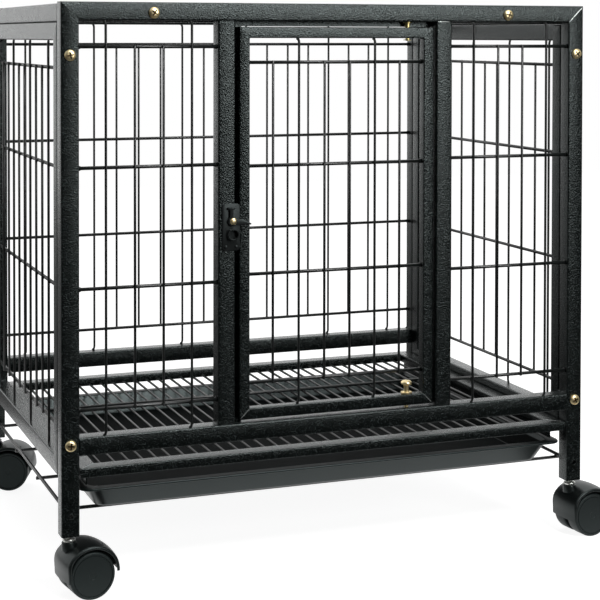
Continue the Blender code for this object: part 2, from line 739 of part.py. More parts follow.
def hinge_pins():
    """Upper pin, fixed under the top rail, and lower pin with its knob, which lifts out of the sill."""
    shank, collar = PIN_SHANK / 2, PIN_COLLAR / 2
    collar_low = DOOR_TOP + GAP
    tip = DOOR_TOP - DOOR_TUBE - PIN_TIP
    upper = [
        (0.0, RAIL_BOTTOM + PIN_IN_RAIL),
        (shank, RAIL_BOTTOM + PIN_IN_RAIL),
        (shank, RAIL_BOTTOM - GAP),
        (collar, RAIL_BOTTOM - GAP),
        (collar, collar_low),
        (shank, collar_low),
        (shank, tip + shank / 2),
        (shank / 2, tip),
        (0.0, tip),
    ]
    mesh = turned_solid("upper_hinge_pin", upper, PIN_SIDES)
    add_part("upper_hinge_pin", mesh, ZINC, ROOT, (HINGE_X, HALF_TUBE, 0))
    seat = DOOR_BOTTOM + DOOR_TUBE + GAP
    neck_low = seat + PIN_FLANGE_HEIGHT
    knob_low = neck_low + PIN_NECK_HEIGHT
    knob_high = knob_low + PIN_KNOB_HEIGHT
    end = SILL_TOP - lower_pin_depth()
    knob = PIN_KNOB / 2
    lower = [
        (0.0, knob_high),
        (knob * KNOB_CROWN, knob_high - PIN_KNOB_HEIGHT * KNOB_CROWN_DROP),
        (knob, knob_high - PIN_KNOB_HEIGHT * KNOB_SHOULDER_DROP),
        (knob, knob_low + PIN_KNOB_HEIGHT * KNOB_FOOT_RISE),
        (knob * KNOB_FOOT, knob_low),
        (PIN_NECK / 2, knob_low),
        (PIN_NECK / 2, neck_low),
        (PIN_FLANGE / 2, neck_low),
        (PIN_FLANGE / 2, seat),
        (shank, seat),
        (shank, end + shank / 2),
        (shank / 2, end),
        (0.0, end),
    ]
    mesh = turned_solid("lower_hinge_pin", lower, PIN_SIDES)
    add_part("lower_hinge_pin", mesh, BRASS, bpy.data.objects["door_axis"])


def latch():
    """Latch on the left stile: riveted plate, brass pivot pin, hook lever and coil spring."""
    plate_front = -GAP - LATCH_PLATE_THICK
    hook_back = plate_front - GAP
    hook_front = hook_back - HOOK_THICK
    right = LEFT_STILE_EDGE + LATCH_PLATE_OVERHANG - LATCH_X
    left, high = right - LATCH_PLATE_WIDTH, LATCH_PLATE_RISE
    low = high - LATCH_PLATE_HEIGHT
    axis = add_empty("latch_axis", (LATCH_X, 0, LATCH_HEIGHT))
    outline = rounded_rectangle(left, low, right, high, LATCH_PLATE_CORNER, LATCH_CORNER_STEPS)
    mesh = outline_mesh("latch_plate", [outline], LATCH_PLATE_THICK)
    middle = (LATCH_X, -GAP - LATCH_PLATE_THICK / 2, LATCH_HEIGHT)
    plate = add_part("latch_plate", mesh, ZINC, ROOT, middle, FACING_FRONT)
    rivets = bmesh.new()
    for x in (left + RIVET_INSET, right - RIVET_INSET):
        base = (LATCH_X + x, plate_front + LATCH_PLATE_THICK / 2, LATCH_HEIGHT + low + RIVET_INSET)
        round_bar(rivets, base, (base[0], plate_front - RIVET_HEAD_HEIGHT, base[2]), RIVET_HEAD, RIVET_SIDES)
    rivet_mesh = bpy.data.meshes.new("latch_rivets")
    rivets.to_mesh(rivet_mesh)
    rivets.free()
    add_boolean(plate, add_cutter("latch_rivets", rivet_mesh), "UNION")
    hole = LATCH_PIN + 2 * HOLE_PLAY
    drill(plate, [((LATCH_X, hook_front, LATCH_HEIGHT), (LATCH_X, GAP, LATCH_HEIGHT), hole)])

    hook = add_part("latch_hook", hook_mesh(), ZINC, axis, (0, (hook_front + hook_back) / 2, 0), FACING_FRONT)
    drill(hook, [((0, hook_front - GAP, 0), (0, hook_back + GAP, 0), hole)], axis)

    shank, head = LATCH_PIN / 2, LATCH_PIN_HEAD / 2
    head_low = -hook_front + GAP
    profile = [
        (0.0, head_low + LATCH_PIN_HEAD_HEIGHT),
        (head * LATCH_PIN_CROWN, head_low + LATCH_PIN_HEAD_HEIGHT),
        (head, head_low + LATCH_PIN_HEAD_HEIGHT * LATCH_PIN_SHOULDER),
        (head, head_low),
        (shank, head_low),
        (shank, -LATCH_PIN_DEPTH),
        (0.0, -LATCH_PIN_DEPTH),
    ]
    mesh = turned_solid("latch_pin", profile, PIN_SIDES)
    add_part("latch_pin", mesh, BRASS, ROOT, (LATCH_X, 0, LATCH_HEIGHT), (math.radians(90), 0, 0))
    spring_back = plate_front - GAP - SPRING_WIRE / 2
    add_part("latch_spring", spring_mesh(spring_back), ZINC, ROOT, (LATCH_X, 0, LATCH_HEIGHT))


def hook_mesh():
    """Hook lever about its pivot: a boss, an arm with a beak over the door, and a finger lever above."""
    boss = HOOK_BOSS / 2
    lever_left = -LEVER_WIDTH
    pad_low = LEVER_HEIGHT - LEVER_PAD_HEIGHT
    pad_left = lever_left - (LEVER_PAD_WIDTH - LEVER_WIDTH) / 2
    start = math.degrees(math.acos(lever_left / boss))
    end = 360.0 - math.degrees(math.asin(HOOK_ARM_LOW / boss))
    outline = arc((0, 0), boss, start, end, HOOK_BOSS_STEPS)
    outline += [
        (HOOK_REACH, -HOOK_ARM_LOW),
        (HOOK_REACH, HOOK_TIP_HEIGHT - HOOK_ARM_LOW),
        (HOOK_REACH - HOOK_BEAK, HOOK_ARM_HIGH),
        (math.sqrt(boss**2 - HOOK_ARM_HIGH**2), HOOK_ARM_HIGH),
        (0.0, boss),
        (0.0, pad_low),
        (pad_left + LEVER_PAD_WIDTH, pad_low),
        (pad_left + LEVER_PAD_WIDTH, LEVER_HEIGHT),
        (pad_left, LEVER_HEIGHT),
        (pad_left, pad_low),
        (lever_left, pad_low),
    ]
    return outline_mesh("latch_hook", [outline], HOOK_THICK)


def spring_mesh(back):
    """Coil spring below the pivot, with a straight leg at each end. It prints the least gap of its coil."""
    count = round(SPRING_TURNS * SPRING_POINTS_PER_TURN)
    points = []
    for index in range(count + 1):
        turn = 2 * math.pi * index / SPRING_POINTS_PER_TURN
        x, z = SPRING_RADIUS * math.cos(turn), SPRING_RADIUS * math.sin(turn)
        y = back - SPRING_PITCH * index / SPRING_POINTS_PER_TURN
        points.append(Vector((x, y, z - SPRING_DROP)))
    first = points[0] + Vector((0, 0, -SPRING_LEG))
    last = points[-1] + Vector((-SPRING_LEG, 0, 0))
    gap = min(
        (points[i] - points[j]).length - SPRING_WIRE
        for i in range(len(points))
        for j in range(i + SPRING_POINTS_PER_TURN // 2, len(points))
    )
    print(f"least gap of the latch spring to itself: {gap * 1000:.2f} mm")
    return wire_solid("latch_spring", [[first, *points, last]], SPRING_WIRE, WIRE_SIDES)


def floor_grid():
    """Slide-out floor grid: a flat tube frame with mitred corners, and its wires."""
    axis = add_empty("floor_grid_origin", (0, 0, SIDE_BOTTOM))
    left, right = TUBE + GRID_SIDE_PLAY, RIGHT_POST - GRID_SIDE_PLAY
    front, back = GRID_SETBACK, CAGE_DEPTH - GRID_REAR_PLAY
    inner = (left + GRID_TUBE_WIDTH, front + GRID_TUBE_WIDTH, right - GRID_TUBE_WIDTH, back - GRID_TUBE_WIDTH)
    outlines = [rectangle(left, front, right, back), rectangle(*inner)]
    middle = (0, 0, GRID_TUBE_HEIGHT / 2)
    tube_frame("floor_grid_frame", outlines, FLAT, middle, GRID_TUBE_HEIGHT, GRID_CORNER, axis)
    bars = spaced(inner[0] + GRID_BAR_MARGIN, inner[2] - GRID_BAR_MARGIN, GRID_BARS)
    step = (inner[3] - inner[1]) / (GRID_CROSSES + 1)
    crosses = [inner[1] + step * (index + 1) for index in range(GRID_CROSSES)]
    top = GRID_TUBE_HEIGHT - GRID_BAR_DROP - BAR_WIRE / 2
    ends = (inner[1] + GAP, inner[3] - GAP)
    mesh = wire_solid("floor_grid_wires", [[(x, y, top) for y in ends] for x in bars], BAR_WIRE, WIRE_SIDES, 90.0)
    wires = add_part("floor_grid_wires", mesh, WIRE_COAT, axis)
    sides = (inner[0] + GAP, inner[2] - GAP)
    runs = [[(x, y, top - WIRE_STEP) for x in sides] for y in crosses]
    cross_mesh = wire_solid("floor_grid_crosses", runs, CROSS_WIRE, WIRE_SIDES, 90.0)
    add_boolean(wires, add_cutter("floor_grid_crosses", cross_mesh, axis), "UNION")
    for side, outer, inward in (("left", 0.0, 1), ("right", CAGE_WIDTH, -1)):
        near = outer + inward * LEDGE_EDGE
        far = outer + inward * (TUBE + LEDGE_REACH)
        outline = rectangle(min(near, far), INNER_FRONT, max(near, far), INNER_BACK)
        mesh = outline_mesh(f"grid_ledge_{side}", [outline], LEDGE_THICK)
        height = SIDE_BOTTOM - GAP - LEDGE_THICK / 2
        add_part(f"grid_ledge_{side}", mesh, POWDER_COAT, ROOT, (0, 0, height))


def tray():
    """Plastic tray: a box with drafted walls and round corners, opened at the top and given a lip."""
    left, right = TUBE + TRAY_SIDE_PLAY, RIGHT_POST - TRAY_SIDE_PLAY
    front, back = TRAY_SETBACK, CAGE_DEPTH - TRAY_REAR_PLAY
    middle = Vector(((left + right) / 2, (front + back) / 2, TRAY_BOTTOM + TRAY_HEIGHT / 2))
    width, depth = right - left - 2 * TRAY_LIP_WIDTH, back - front - 2 * TRAY_LIP_WIDTH
    bm = bmesh.new()
    bmesh.ops.create_cube(bm, size=1.0)
    bmesh.ops.scale(bm, vec=(width, depth, TRAY_HEIGHT), verts=bm.verts)
    low = [vert for vert in bm.verts if vert.co.z < 0]
    bmesh.ops.scale(bm, vec=(1 - 2 * TRAY_DRAFT / width, 1 - 2 * TRAY_DRAFT / depth, 1.0), verts=low)
    upright = [edge for edge in bm.edges if abs(edge.verts[0].co.z - edge.verts[1].co.z) > TRAY_HEIGHT / 2]
    bmesh.ops.bevel(
        bm, geom=upright, offset=TRAY_CORNER, segments=TRAY_CORNER_STEPS, profile=0.5, affect="EDGES", material=-1
    )
    floor_edges = [edge for edge in bm.edges if all(vert.co.z < 0 for vert in edge.verts)]
    bmesh.ops.bevel(
        bm, geom=floor_edges, offset=TRAY_FLOOR_ROUND, segments=1, profile=0.5, affect="EDGES", material=-1
    )
    top_face = max(bm.faces, key=lambda face: face.calc_center_median().z)
    bmesh.ops.delete(bm, geom=[top_face], context="FACES_ONLY")
    rim = [edge for edge in bm.edges if len(edge.link_faces) == 1]
    lip = bmesh.ops.extrude_edge_only(bm, edges=rim)["geom"]
    lip_verts = [item for item in lip if isinstance(item, bmesh.types.BMVert)]
    spread = (1 + 2 * TRAY_LIP_WIDTH / width, 1 + 2 * TRAY_LIP_WIDTH / depth, 1.0)
    bmesh.ops.scale(bm, vec=spread, verts=lip_verts)
    bmesh.ops.recalc_face_normals(bm, faces=bm.faces)
    floor = min(bm.faces, key=lambda face: face.calc_center_median().z)
    if floor.normal.z > 0:
        bmesh.ops.reverse_faces(bm, faces=bm.faces)
    mesh = bpy.data.meshes.new("tray")
    bm.to_mesh(mesh)
    bm.free()
    obj = add_part("tray", mesh, TRAY_PLASTIC, ROOT, middle)
    wall = obj.modifiers.new("wall", "SOLIDIFY")
    wall.thickness = TRAY_WALL
    wall.offset = -1.0
    wall.use_even_offset = True


def tray_rack():
    """Wire rack under the tray: two side wires between the legs, and runners welded under them."""
    sides = [HALF_TUBE, CAGE_WIDTH - HALF_TUBE]
    ends = (RACK_END_INSET, CAGE_DEPTH - RACK_END_INSET)
    runs = [[(x, y, RACK_HEIGHT) for y in ends] for x in sides]
    mesh = wire_solid("tray_rack", runs, RACK_WIRE, RACK_SIDES)
    rack = add_part("tray_rack", mesh, WIRE_COAT)
    reach = (sides[0] - RACK_END_OVERHANG, sides[1] + RACK_END_OVERHANG)
    places = spaced(RACK_FRONT_MARGIN, CAGE_DEPTH - RACK_BACK_MARGIN, RACK_RUNNERS)
    runners = [[(x, y, RACK_RUNNER_HEIGHT) for x in reach] for y in places]
    runner_mesh = wire_solid("tray_rack_runners", runners, RACK_WIRE, RACK_SIDES)
    add_boolean(rack, add_cutter("tray_rack_runners", runner_mesh), "UNION")


def hood_mesh():
    """Caster hood about the swivel axis: a crowned shell over both wheels, a web between them and a boss."""
    half = HOOD_WIDTH / 2
    rise = HOOD_CROWN - HOOD_RIM
    heights = spaced(half, -half, HOOD_BANDS + 1)
    profile = [(HOOD_CROWN - rise * (height / half) ** 2, height) for height in heights]
    shell = turned_mesh("caster_hood", profile, HOOD_STEPS, HOOD_REAR_ANGLE - HOOD_FRONT_ANGLE)
    wall = shell.modifiers.new("wall", "SOLIDIFY")
    wall.thickness = HOOD_WALL
    wall.offset = -1.0
    mesh = evaluated_mesh(shell)
    stand = Matrix.Rotation(math.radians(90), 4, "X") @ Matrix.Rotation(math.radians(HOOD_FRONT_ANGLE), 4, "Z")
    mesh.transform(Matrix.Translation((CASTER_TRAIL, 0, AXLE_HEIGHT)) @ stand)
    obj = bpy.data.objects.new("caster_hood", mesh)
    bpy.context.scene.collection.objects.link(obj)
    web_edge = HOOD_CROWN - HOOD_WALL / 2
    web_front, web_rear = HOOD_FRONT_ANGLE + WEB_SHELL_INSET, HOOD_REAR_ANGLE - WEB_SHELL_INSET
    web = arc((0, 0), web_edge, web_front, web_rear, HOOD_STEPS)
    web += arc((0, 0), WEB_RADIUS, HOOD_REAR_ANGLE + WEB_SWEEP, HOOD_FRONT_ANGLE + 360.0 - WEB_SWEEP, WEB_LOW_STEPS)
    web_mesh = outline_mesh("caster_web", [web], WEB_THICK)
    place = (CASTER_TRAIL, 0, AXLE_HEIGHT)
    extras = [add_cutter("caster_web", web_mesh, None, place, FACING_FRONT)]
    boss = bmesh.new()
    round_bar(boss, (0, 0, BOSS_BOTTOM), (0, 0, BOSS_TOP), BOSS_DIAMETER, STEM_SIDES)
    boss_mesh = bpy.data.meshes.new("caster_boss")
    boss.to_mesh(boss_mesh)
    boss.free()
    extras.append(add_cutter("caster_boss", boss_mesh, None))
    for extra in extras:
        add_boolean(obj, extra, "UNION")
    holes = bmesh.new()
    round_bar(holes, (0, 0, BOSS_TOP + GAP), (0, 0, STEM_PIN_END - GAP), STEM_PIN + 2 * HOLE_PLAY, HOLE_SIDES)
    near, far = (CASTER_TRAIL, -WEB_THICK, AXLE_HEIGHT), (CASTER_TRAIL, WEB_THICK, AXLE_HEIGHT)
    round_bar(holes, near, far, AXLE_DIAMETER + 2 * HOLE_PLAY, HOLE_SIDES)
    hole_mesh = bpy.data.meshes.new("caster_holes")
    holes.to_mesh(hole_mesh)
    holes.free()
    extras.append(add_cutter("caster_holes", hole_mesh, None))
    add_boolean(obj, extras[-1])
    mesh = smooth(evaluated_mesh(obj), 30.0)
    for extra in extras:
        bpy.data.objects.remove(extra)
    return mesh


def wheel_mesh():
    """One wheel from the middle of its axle, with its outer face up and a blind bore from its inner face."""
    bore = AXLE_DIAMETER / 2 + HOLE_PLAY
    bore_end = WHEEL_INNER_FACE + WHEEL_BORE_DEPTH
    profile = [
        (0.0, WHEEL_OUTER_FACE),
        (WHEEL_RADIUS - WHEEL_EDGE, WHEEL_OUTER_FACE),
        (WHEEL_RADIUS, WHEEL_OUTER_FACE - WHEEL_EDGE),
        (WHEEL_RADIUS, WHEEL_INNER_FACE),
        (bore, WHEEL_INNER_FACE),
        (bore, bore_end),
        (0.0, bore_end),
    ]
    return turned_solid("caster_wheel", profile, WHEEL_SIDES)


def stem_mesh():
    """Caster stem about the swivel axis: the stud in the leg, a neck, a collar, and the pin in the hood."""
    profile = [
        (0.0, STEM_TOP),
        (STEM_DIAMETER / 2, STEM_TOP),
        (STEM_DIAMETER / 2, COLLAR_TOP),
        (COLLAR_DIAMETER / 2, COLLAR_TOP),
        (COLLAR_DIAMETER / 2, COLLAR_BOTTOM),
        (STEM_PIN / 2, COLLAR_BOTTOM),
        (STEM_PIN / 2, STEM_PIN_END),
        (0.0, STEM_PIN_END),
    ]
    return turned_solid("caster_stem", profile, STEM_SIDES)


def axle_mesh():
    """The steel axle of the two wheels, about its own middle."""
    bm = bmesh.new()
    half = AXLE_LENGTH / 2
    round_bar(bm, (0, 0, -half), (0, 0, half), AXLE_DIAMETER, HOLE_SIDES)
    mesh = bpy.data.meshes.new("caster_axle")
    bm.to_mesh(mesh)
    bm.free()
    return smooth(mesh)


def casters():
    """Four casters, each turned its own way. Every moving piece sits on an empty on its axis."""
    hood, wheel, stem, axle = hood_mesh(), wheel_mesh(), stem_mesh(), axle_mesh()
    for name, (x, y) in corner_places().items():
        swivel = add_empty(f"caster_{name}_swivel", (x, y, 0), turn=CASTER_TURNS[name])
        wheels = add_empty(f"caster_{name}_axle_line", (CASTER_TRAIL, 0, AXLE_HEIGHT), swivel)
        add_part(f"caster_{name}_stem", stem, ZINC, ROOT, (x, y, 0))
        add_part(f"caster_{name}_hood", hood, NYLON, swivel)
        add_part(f"caster_{name}_axle", axle, ZINC, wheels, rotation=FACING_FRONT)
        add_part(f"caster_{name}_outer_wheel", wheel, NYLON, wheels, rotation=FACING_FRONT)
        add_part(f"caster_{name}_inner_wheel", wheel, NYLON, wheels, rotation=(math.radians(-90), 0, 0))


def move_origin():
    """Move the root so that the origin is under the middle of the object's bounding box."""
    bpy.context.view_layer.update()
    graph = bpy.context.evaluated_depsgraph_get()
    corners = []
    for obj in CAGE.objects:
        if obj.type == "MESH":
            evaluated = obj.evaluated_get(graph)
            corners += [evaluated.matrix_world @ vert.co for vert in evaluated.data.vertices]
    low = [min(corner[axis] for corner in corners) for axis in range(3)]
    high = [max(corner[axis] for corner in corners) for axis in range(3)]
    ROOT.location = (-(low[0] + high[0]) / 2, -(low[1] + high[1]) / 2, -low[2])
    print("root moved by", [round(value, 5) for value in ROOT.location])
    bpy.context.view_layer.update()


front_panel()
back_panel()
side_panels()
top_panel()
screws()
door()
hinge_pins()
latch()
floor_grid()
tray()
tray_rack()
casters()
move_origin()
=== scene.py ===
"""Wire dog cage, dressed for its picture: a studio, finishes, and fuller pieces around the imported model.

All sizes are in metres. Forms are shaped from the outer corner of the front left leg, at floor level, and
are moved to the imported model's place when they are published.
"""

import logging
import math
from dataclasses import dataclass
from enum import Enum
from itertools import product
from typing import Any, Callable, Iterable, Optional, Sequence, Union

import bmesh
import bpy
from bmesh.types import BMEdge, BMVert
from mathutils import Matrix, Vector


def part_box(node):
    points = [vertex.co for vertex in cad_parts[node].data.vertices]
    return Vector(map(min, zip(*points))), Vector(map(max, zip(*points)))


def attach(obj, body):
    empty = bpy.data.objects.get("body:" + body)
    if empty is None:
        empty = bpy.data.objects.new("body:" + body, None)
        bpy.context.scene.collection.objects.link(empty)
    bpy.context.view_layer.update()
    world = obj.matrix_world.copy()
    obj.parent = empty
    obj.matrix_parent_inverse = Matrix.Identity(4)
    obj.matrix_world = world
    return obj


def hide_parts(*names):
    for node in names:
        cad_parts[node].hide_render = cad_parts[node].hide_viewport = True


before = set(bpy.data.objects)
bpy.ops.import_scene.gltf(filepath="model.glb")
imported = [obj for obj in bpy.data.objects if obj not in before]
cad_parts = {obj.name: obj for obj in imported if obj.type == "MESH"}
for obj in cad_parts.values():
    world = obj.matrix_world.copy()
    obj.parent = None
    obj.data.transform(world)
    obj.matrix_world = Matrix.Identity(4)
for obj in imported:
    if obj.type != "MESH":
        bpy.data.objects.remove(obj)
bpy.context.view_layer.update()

LOG = logging.getLogger("dog_cage")
GAP = 0.0003
MERGE = 1e-6
PHOTO_PIXELS = 600
RIM_ROUND = 0.0003

# Edges sharper than these angles, in degrees, stay hard.
PLAIN_CREASE = 32.0
WIRE_CREASE = 60.0
TURNED_CREASE = 35.0
SCREW_CREASE = 40.0
CASTER_CREASE = 30.0
TRAY_CREASE = 50.0

Triple = tuple[float, float, float]
Point = Union[Vector, Sequence[float]]
Profile = list[tuple[float, float]]


class Slot(Enum):
    """The record's material slots."""

    FRAME = "hammertone_coat"
    WIRE = "wire_coat"
    BRASS = "brass"
    ZINC = "zinc_plate"
    TRAY = "tray_plastic"
    NYLON = "caster_nylon"


class Side(Enum):
    """The low or the high end of something along an axis."""

    LOW = -1
    HIGH = 1


# shaders


class Signal:
    """A shader socket that takes part in sums. An expression on signals adds its Math nodes."""

    def __init__(self, bench: "Bench", socket: bpy.types.NodeSocket) -> None:
        """Keep the socket and the bench that it belongs to."""
        self.bench = bench
        self.socket = socket

    def _math(self, operation: str, first: Any, second: Any) -> "Signal":
        """Add one Math node."""
        return self.bench.out("ShaderNodeMath", {"operation": operation}, {0: first, 1: second})

    def __add__(self, other: Union["Signal", float]) -> "Signal":
        """Add."""
        return self._math("ADD", self, other)

    def __mul__(self, other: Union["Signal", float]) -> "Signal":
        """Multiply."""
        return self._math("MULTIPLY", self, other)

    def __sub__(self, other: Union["Signal", float]) -> "Signal":
        """Take something from this signal."""
        return self._math("SUBTRACT", self, other)

    def __rsub__(self, other: float) -> "Signal":
        """Take this signal from a number."""
        return self._math("SUBTRACT", other, self)

    __radd__ = __add__
    __rmul__ = __mul__

    def larger(self, other: Union["Signal", float]) -> "Signal":
        """The larger of two signals."""
        return self._math("MAXIMUM", self, other)

    def between(self, low: float, high: float) -> "Signal":
        """A soft step from 0 at the low value to 1 at the high value."""
        values = {"Value": self, "From Min": low, "From Max": high}
        return self.bench.out("ShaderNodeMapRange", {"interpolation_type": "SMOOTHSTEP"}, values)


class Bench:
    """The node tree of one material or world, and the calls that fill it."""

    def __init__(self, tree: bpy.types.NodeTree) -> None:
        """Start from an empty tree."""
        self.tree = tree
        tree.nodes.clear()

    def out(self, kind: str, settings: Optional[dict[str, Any]] = None,
            inputs: Optional[dict[Any, Any]] = None, output: Union[int, str] = 0) -> Signal:
        """Add a node and take one of its outputs.

        Args:
            kind: The node's type.
            settings: Its own settings, which are set first.
            inputs: The values or the signals of its sockets, by name or number.
            output: The output's name or number.

        Returns:
            The output as a signal.
        """
        node = self.tree.nodes.new(kind)
        for key, value in (settings or {}).items():
            setattr(node, key, value)
        for key, value in (inputs or {}).items():
            if isinstance(value, Signal):
                self.tree.links.new(value.socket, node.inputs[key])
            else:
                node.inputs[key].default_value = value
        return Signal(self, node.outputs[output])

    def place(self) -> Signal:
        """Object coordinates."""
        return self.out("ShaderNodeTexCoord", output="Object")

    def part(self, vector: Signal, axis: str) -> Signal:
        """One axis of a vector."""
        return self.out("ShaderNodeSeparateXYZ", {}, {0: vector}, axis)

    def ray(self, kind: str) -> Signal:
        """1 for rays of one kind, and 0 for all others."""
        return self.out("ShaderNodeLightPath", output=kind)

    def noise(self, place: Signal, scale: float, detail: float = 2.0, roughness: float = 0.5) -> Signal:
        """Smooth noise from 0 to 1, with scale in features per metre."""
        values = {"Vector": place, "Scale": scale, "Detail": detail, "Roughness": roughness}
        return self.out("ShaderNodeTexNoise", {}, values, "Fac")

    def blend(self, mask: Signal, first: Triple, second: Triple) -> Signal:
        """Mix two colours by a mask."""
        colours = {0: mask, 6: (*first, 1.0), 7: (*second, 1.0)}
        return self.out("ShaderNodeMix", {"data_type": "RGBA"}, colours, 2)

    def bump(self, height: Signal, strength: float, distance: float) -> Signal:
        """Turn a height into a normal."""
        return self.out("ShaderNodeBump", {}, {"Height": height, "Strength": strength, "Distance": distance})

    def principled(self, inputs: dict[str, Any]) -> Signal:
        """A Principled shader."""
        return self.out("ShaderNodeBsdfPrincipled", {}, inputs)

    def mixed(self, mask: Signal, first: Signal, second: Signal) -> Signal:
        """Two shaders, mixed by a mask."""
        return self.out("ShaderNodeMixShader", {}, {0: mask, 1: first, 2: second})

    def finish(self, shader: Signal, kind: str = "ShaderNodeOutputMaterial") -> None:
        """Send a shader to the tree's output."""
        output = self.tree.nodes.new(kind)
        self.tree.links.new(shader.socket, output.inputs["Surface"])


def grey(level: float) -> tuple[float, float, float, float]:
    """A plain grey for a socket."""
    return (level, level, level, 1.0)


@dataclass(frozen=True)
class Finish:
    """A surface finish. Each kind makes a shader of its own."""

    name: str
    slot: Slot
    colour: Triple
    roughness: float

    def shader(self, bench: Bench) -> Signal:
        """The finish's shader."""
        raise NotImplementedError

    def material(self) -> bpy.types.Material:
        """The finish as a material, made once.

        Returns:
            The material.
        """
        known = bpy.data.materials.get(self.name)
        if known:
            return known
        material = bpy.data.materials.new(self.name)
        material.use_nodes = True
        material.diffuse_color = (*self.colour, 1.0)
        bench = Bench(material.node_tree)
        bench.finish(self.shader(bench))
        return material


@dataclass(frozen=True)
class HammertoneCoat(Finish):
    """Hammertone powder coat: small rounded dimples with pale metallic flecks between them."""

    fleck: Triple
    fleck_share: float
    cell: float
    relief: float
    metallic: float = 0.0
    warp: float = 0.0016
    tint: Triple = (0.88, 1.0, 0.98)

    def shader(self, bench: Bench) -> Signal:
        """Dimples and flecks on coordinates that noise bends a little.

        Args:
            bench: The material's node tree.

        Returns:
            The shader.
        """
        place = bench.place()
        drift = bench.out("ShaderNodeTexNoise", {}, {"Vector": place, "Scale": self.cell * 0.8}, "Color")
        bent = bench.out("ShaderNodeMix", {"data_type": "VECTOR"}, {0: self.warp, 4: place, 5: drift}, 1)
        cells = {"Vector": bent, "Scale": self.cell, "Smoothness": 0.6}
        dimples = bench.out("ShaderNodeTexVoronoi", {"feature": "SMOOTH_F1"}, cells, "Distance")
        grain = bench.noise(bent, self.cell * 3.1, 3.0, 0.6)
        patch = bench.noise(place, self.cell * 0.22)
        mottle = grain * 0.6 + dimples * 0.5 + patch * 0.35
        flecks = mottle.between(self.fleck_share, self.fleck_share + 0.10)
        return bench.principled({
            "Base Color": bench.blend(flecks, self.colour, self.fleck),
            "Roughness": self.roughness + patch * 0.16 - flecks * 0.10,
            "Metallic": self.metallic + flecks * 0.35,
            "Specular Tint": (*self.tint, 1.0),
            "Normal": bench.bump(dimples * 0.75 + grain * 0.35, self.relief, 0.0006),
        })


@dataclass(frozen=True)
class WireCoat(Finish):
    """Semi-gloss powder coat on wire, with a slight orange peel and rare pale specks."""

    speck: Triple
    peel_scale: float = 900.0
    speck_scale: float = 520.0

    def shader(self, bench: Bench) -> Signal:
        """Peel and specks under a thin gloss.

        Args:
            bench: The material's node tree.

        Returns:
            The shader.
        """
        place = bench.place()
        peel = bench.noise(place, self.peel_scale)
        specks = bench.noise(place, self.speck_scale, 3.0, 0.7).between(0.66, 0.74)
        return bench.principled({
            "Base Color": bench.blend(specks, self.colour, self.speck),
            "Roughness": self.roughness + peel * 0.14,
            "Coat Weight": 0.3,
            "Coat Roughness": 0.18,
            "Normal": bench.bump(peel, 0.22, 0.0004),
        })


@dataclass(frozen=True)
class PlatedMetal(Finish):
    """Plated metal, brighter where it is rubbed and duller and warmer in patches."""

    dull: Triple
    patch_size: float
    relief: float

    def shader(self, bench: Bench) -> Signal:
        """Wear in patches, with fine scuffs.

        Args:
            bench: The material's node tree.

        Returns:
            The shader.
        """
        place = bench.place()
        wear = bench.noise(place, 1.0 / self.patch_size, 4.0, 0.6).between(0.42, 0.70)
        scuffs = bench.noise(place, 6.0 / self.patch_size, 2.0, 0.7)
        return bench.principled({
            "Base Color": bench.blend(wear, self.colour, self.dull),
            "Metallic": 1.0,
            "Roughness": self.roughness + wear * 0.12 + scuffs * 0.10,
            "Normal": bench.bump(scuffs, self.relief, 0.0002),
        })


@dataclass(frozen=True)
class MouldedPlastic(Finish):
    """Moulded plastic with a fine grain, a slow change of gloss, and on some pieces painted shade: a darker,
    rough shader on the floor and the inner right wall, and less of it on the lip.
    """

    rubbed: Triple
    grain: float
    relief: float
    specular: float = 0.5
    painted_shade_below: float = 0.0
    slow_scale: float = 22.0
    scuff_scale: float = 140.0
    tint: Triple = (0.86, 1.0, 0.99)
    # Painted shade: the dark colour of the faces that the mask picks.
    painted_shade_colour: Triple = (0.002, 0.003, 0.003)

    def shader(self, bench: Bench) -> Signal:
        """Gloss with scuffs, and a darker, rough shader where the mask says so, which paints shade.

        Args:
            bench: The material's node tree.

        Returns:
            The shader.
        """
        place = bench.place()
        slow = bench.noise(place, self.slow_scale)
        texture = bench.noise(place, self.grain, 2.0, 0.6)
        scuff = bench.noise(place, self.scuff_scale, 4.0, 0.75).between(0.58, 0.72)
        gloss = bench.principled({
            "Base Color": bench.blend(scuff * 0.5 + slow * 0.3, self.colour, self.rubbed),
            "Roughness": self.roughness + slow * 0.10 + texture * 0.08 - scuff * 0.04,
            "Specular IOR Level": self.specular,
            "Specular Tint": (*self.tint, 1.0),
            "Normal": bench.bump(texture, self.relief, 0.0002),
        })
        if not self.painted_shade_below:
            return gloss
        # Painted shade: a darker colour with little reflection, mixed in where the mask says so.
        painted_shade_shader = bench.principled({
            "Base Color": bench.blend(scuff, self.painted_shade_colour, self.colour),
            "Roughness": 0.8,
            "Specular IOR Level": 0.08,
        })
        return bench.mixed(self.painted_shade_mask(bench), gloss, painted_shade_shader)

    def painted_shade_mask(self, bench: Bench) -> Signal:
        """Where shade is painted: level faces, less so on the lip, and the inner wall on the right.

        Args:
            bench: The material's node tree.

        Returns:
            The mask.
        """
        side = bench.out("ShaderNodeTexCoord", output="Normal")
        upward = bench.part(side, "Z")
        raised = bench.part(bench.place(), "Z").between(self.painted_shade_below - 0.001, self.painted_shade_below)
        wall = upward.between(0.02, 0.06) * (bench.part(side, "X") * -1.0).between(0.3, 0.7)
        return (upward.between(0.90, 0.99) * (1.0 - raised * 0.35)).larger(wall * (1.0 - raised))


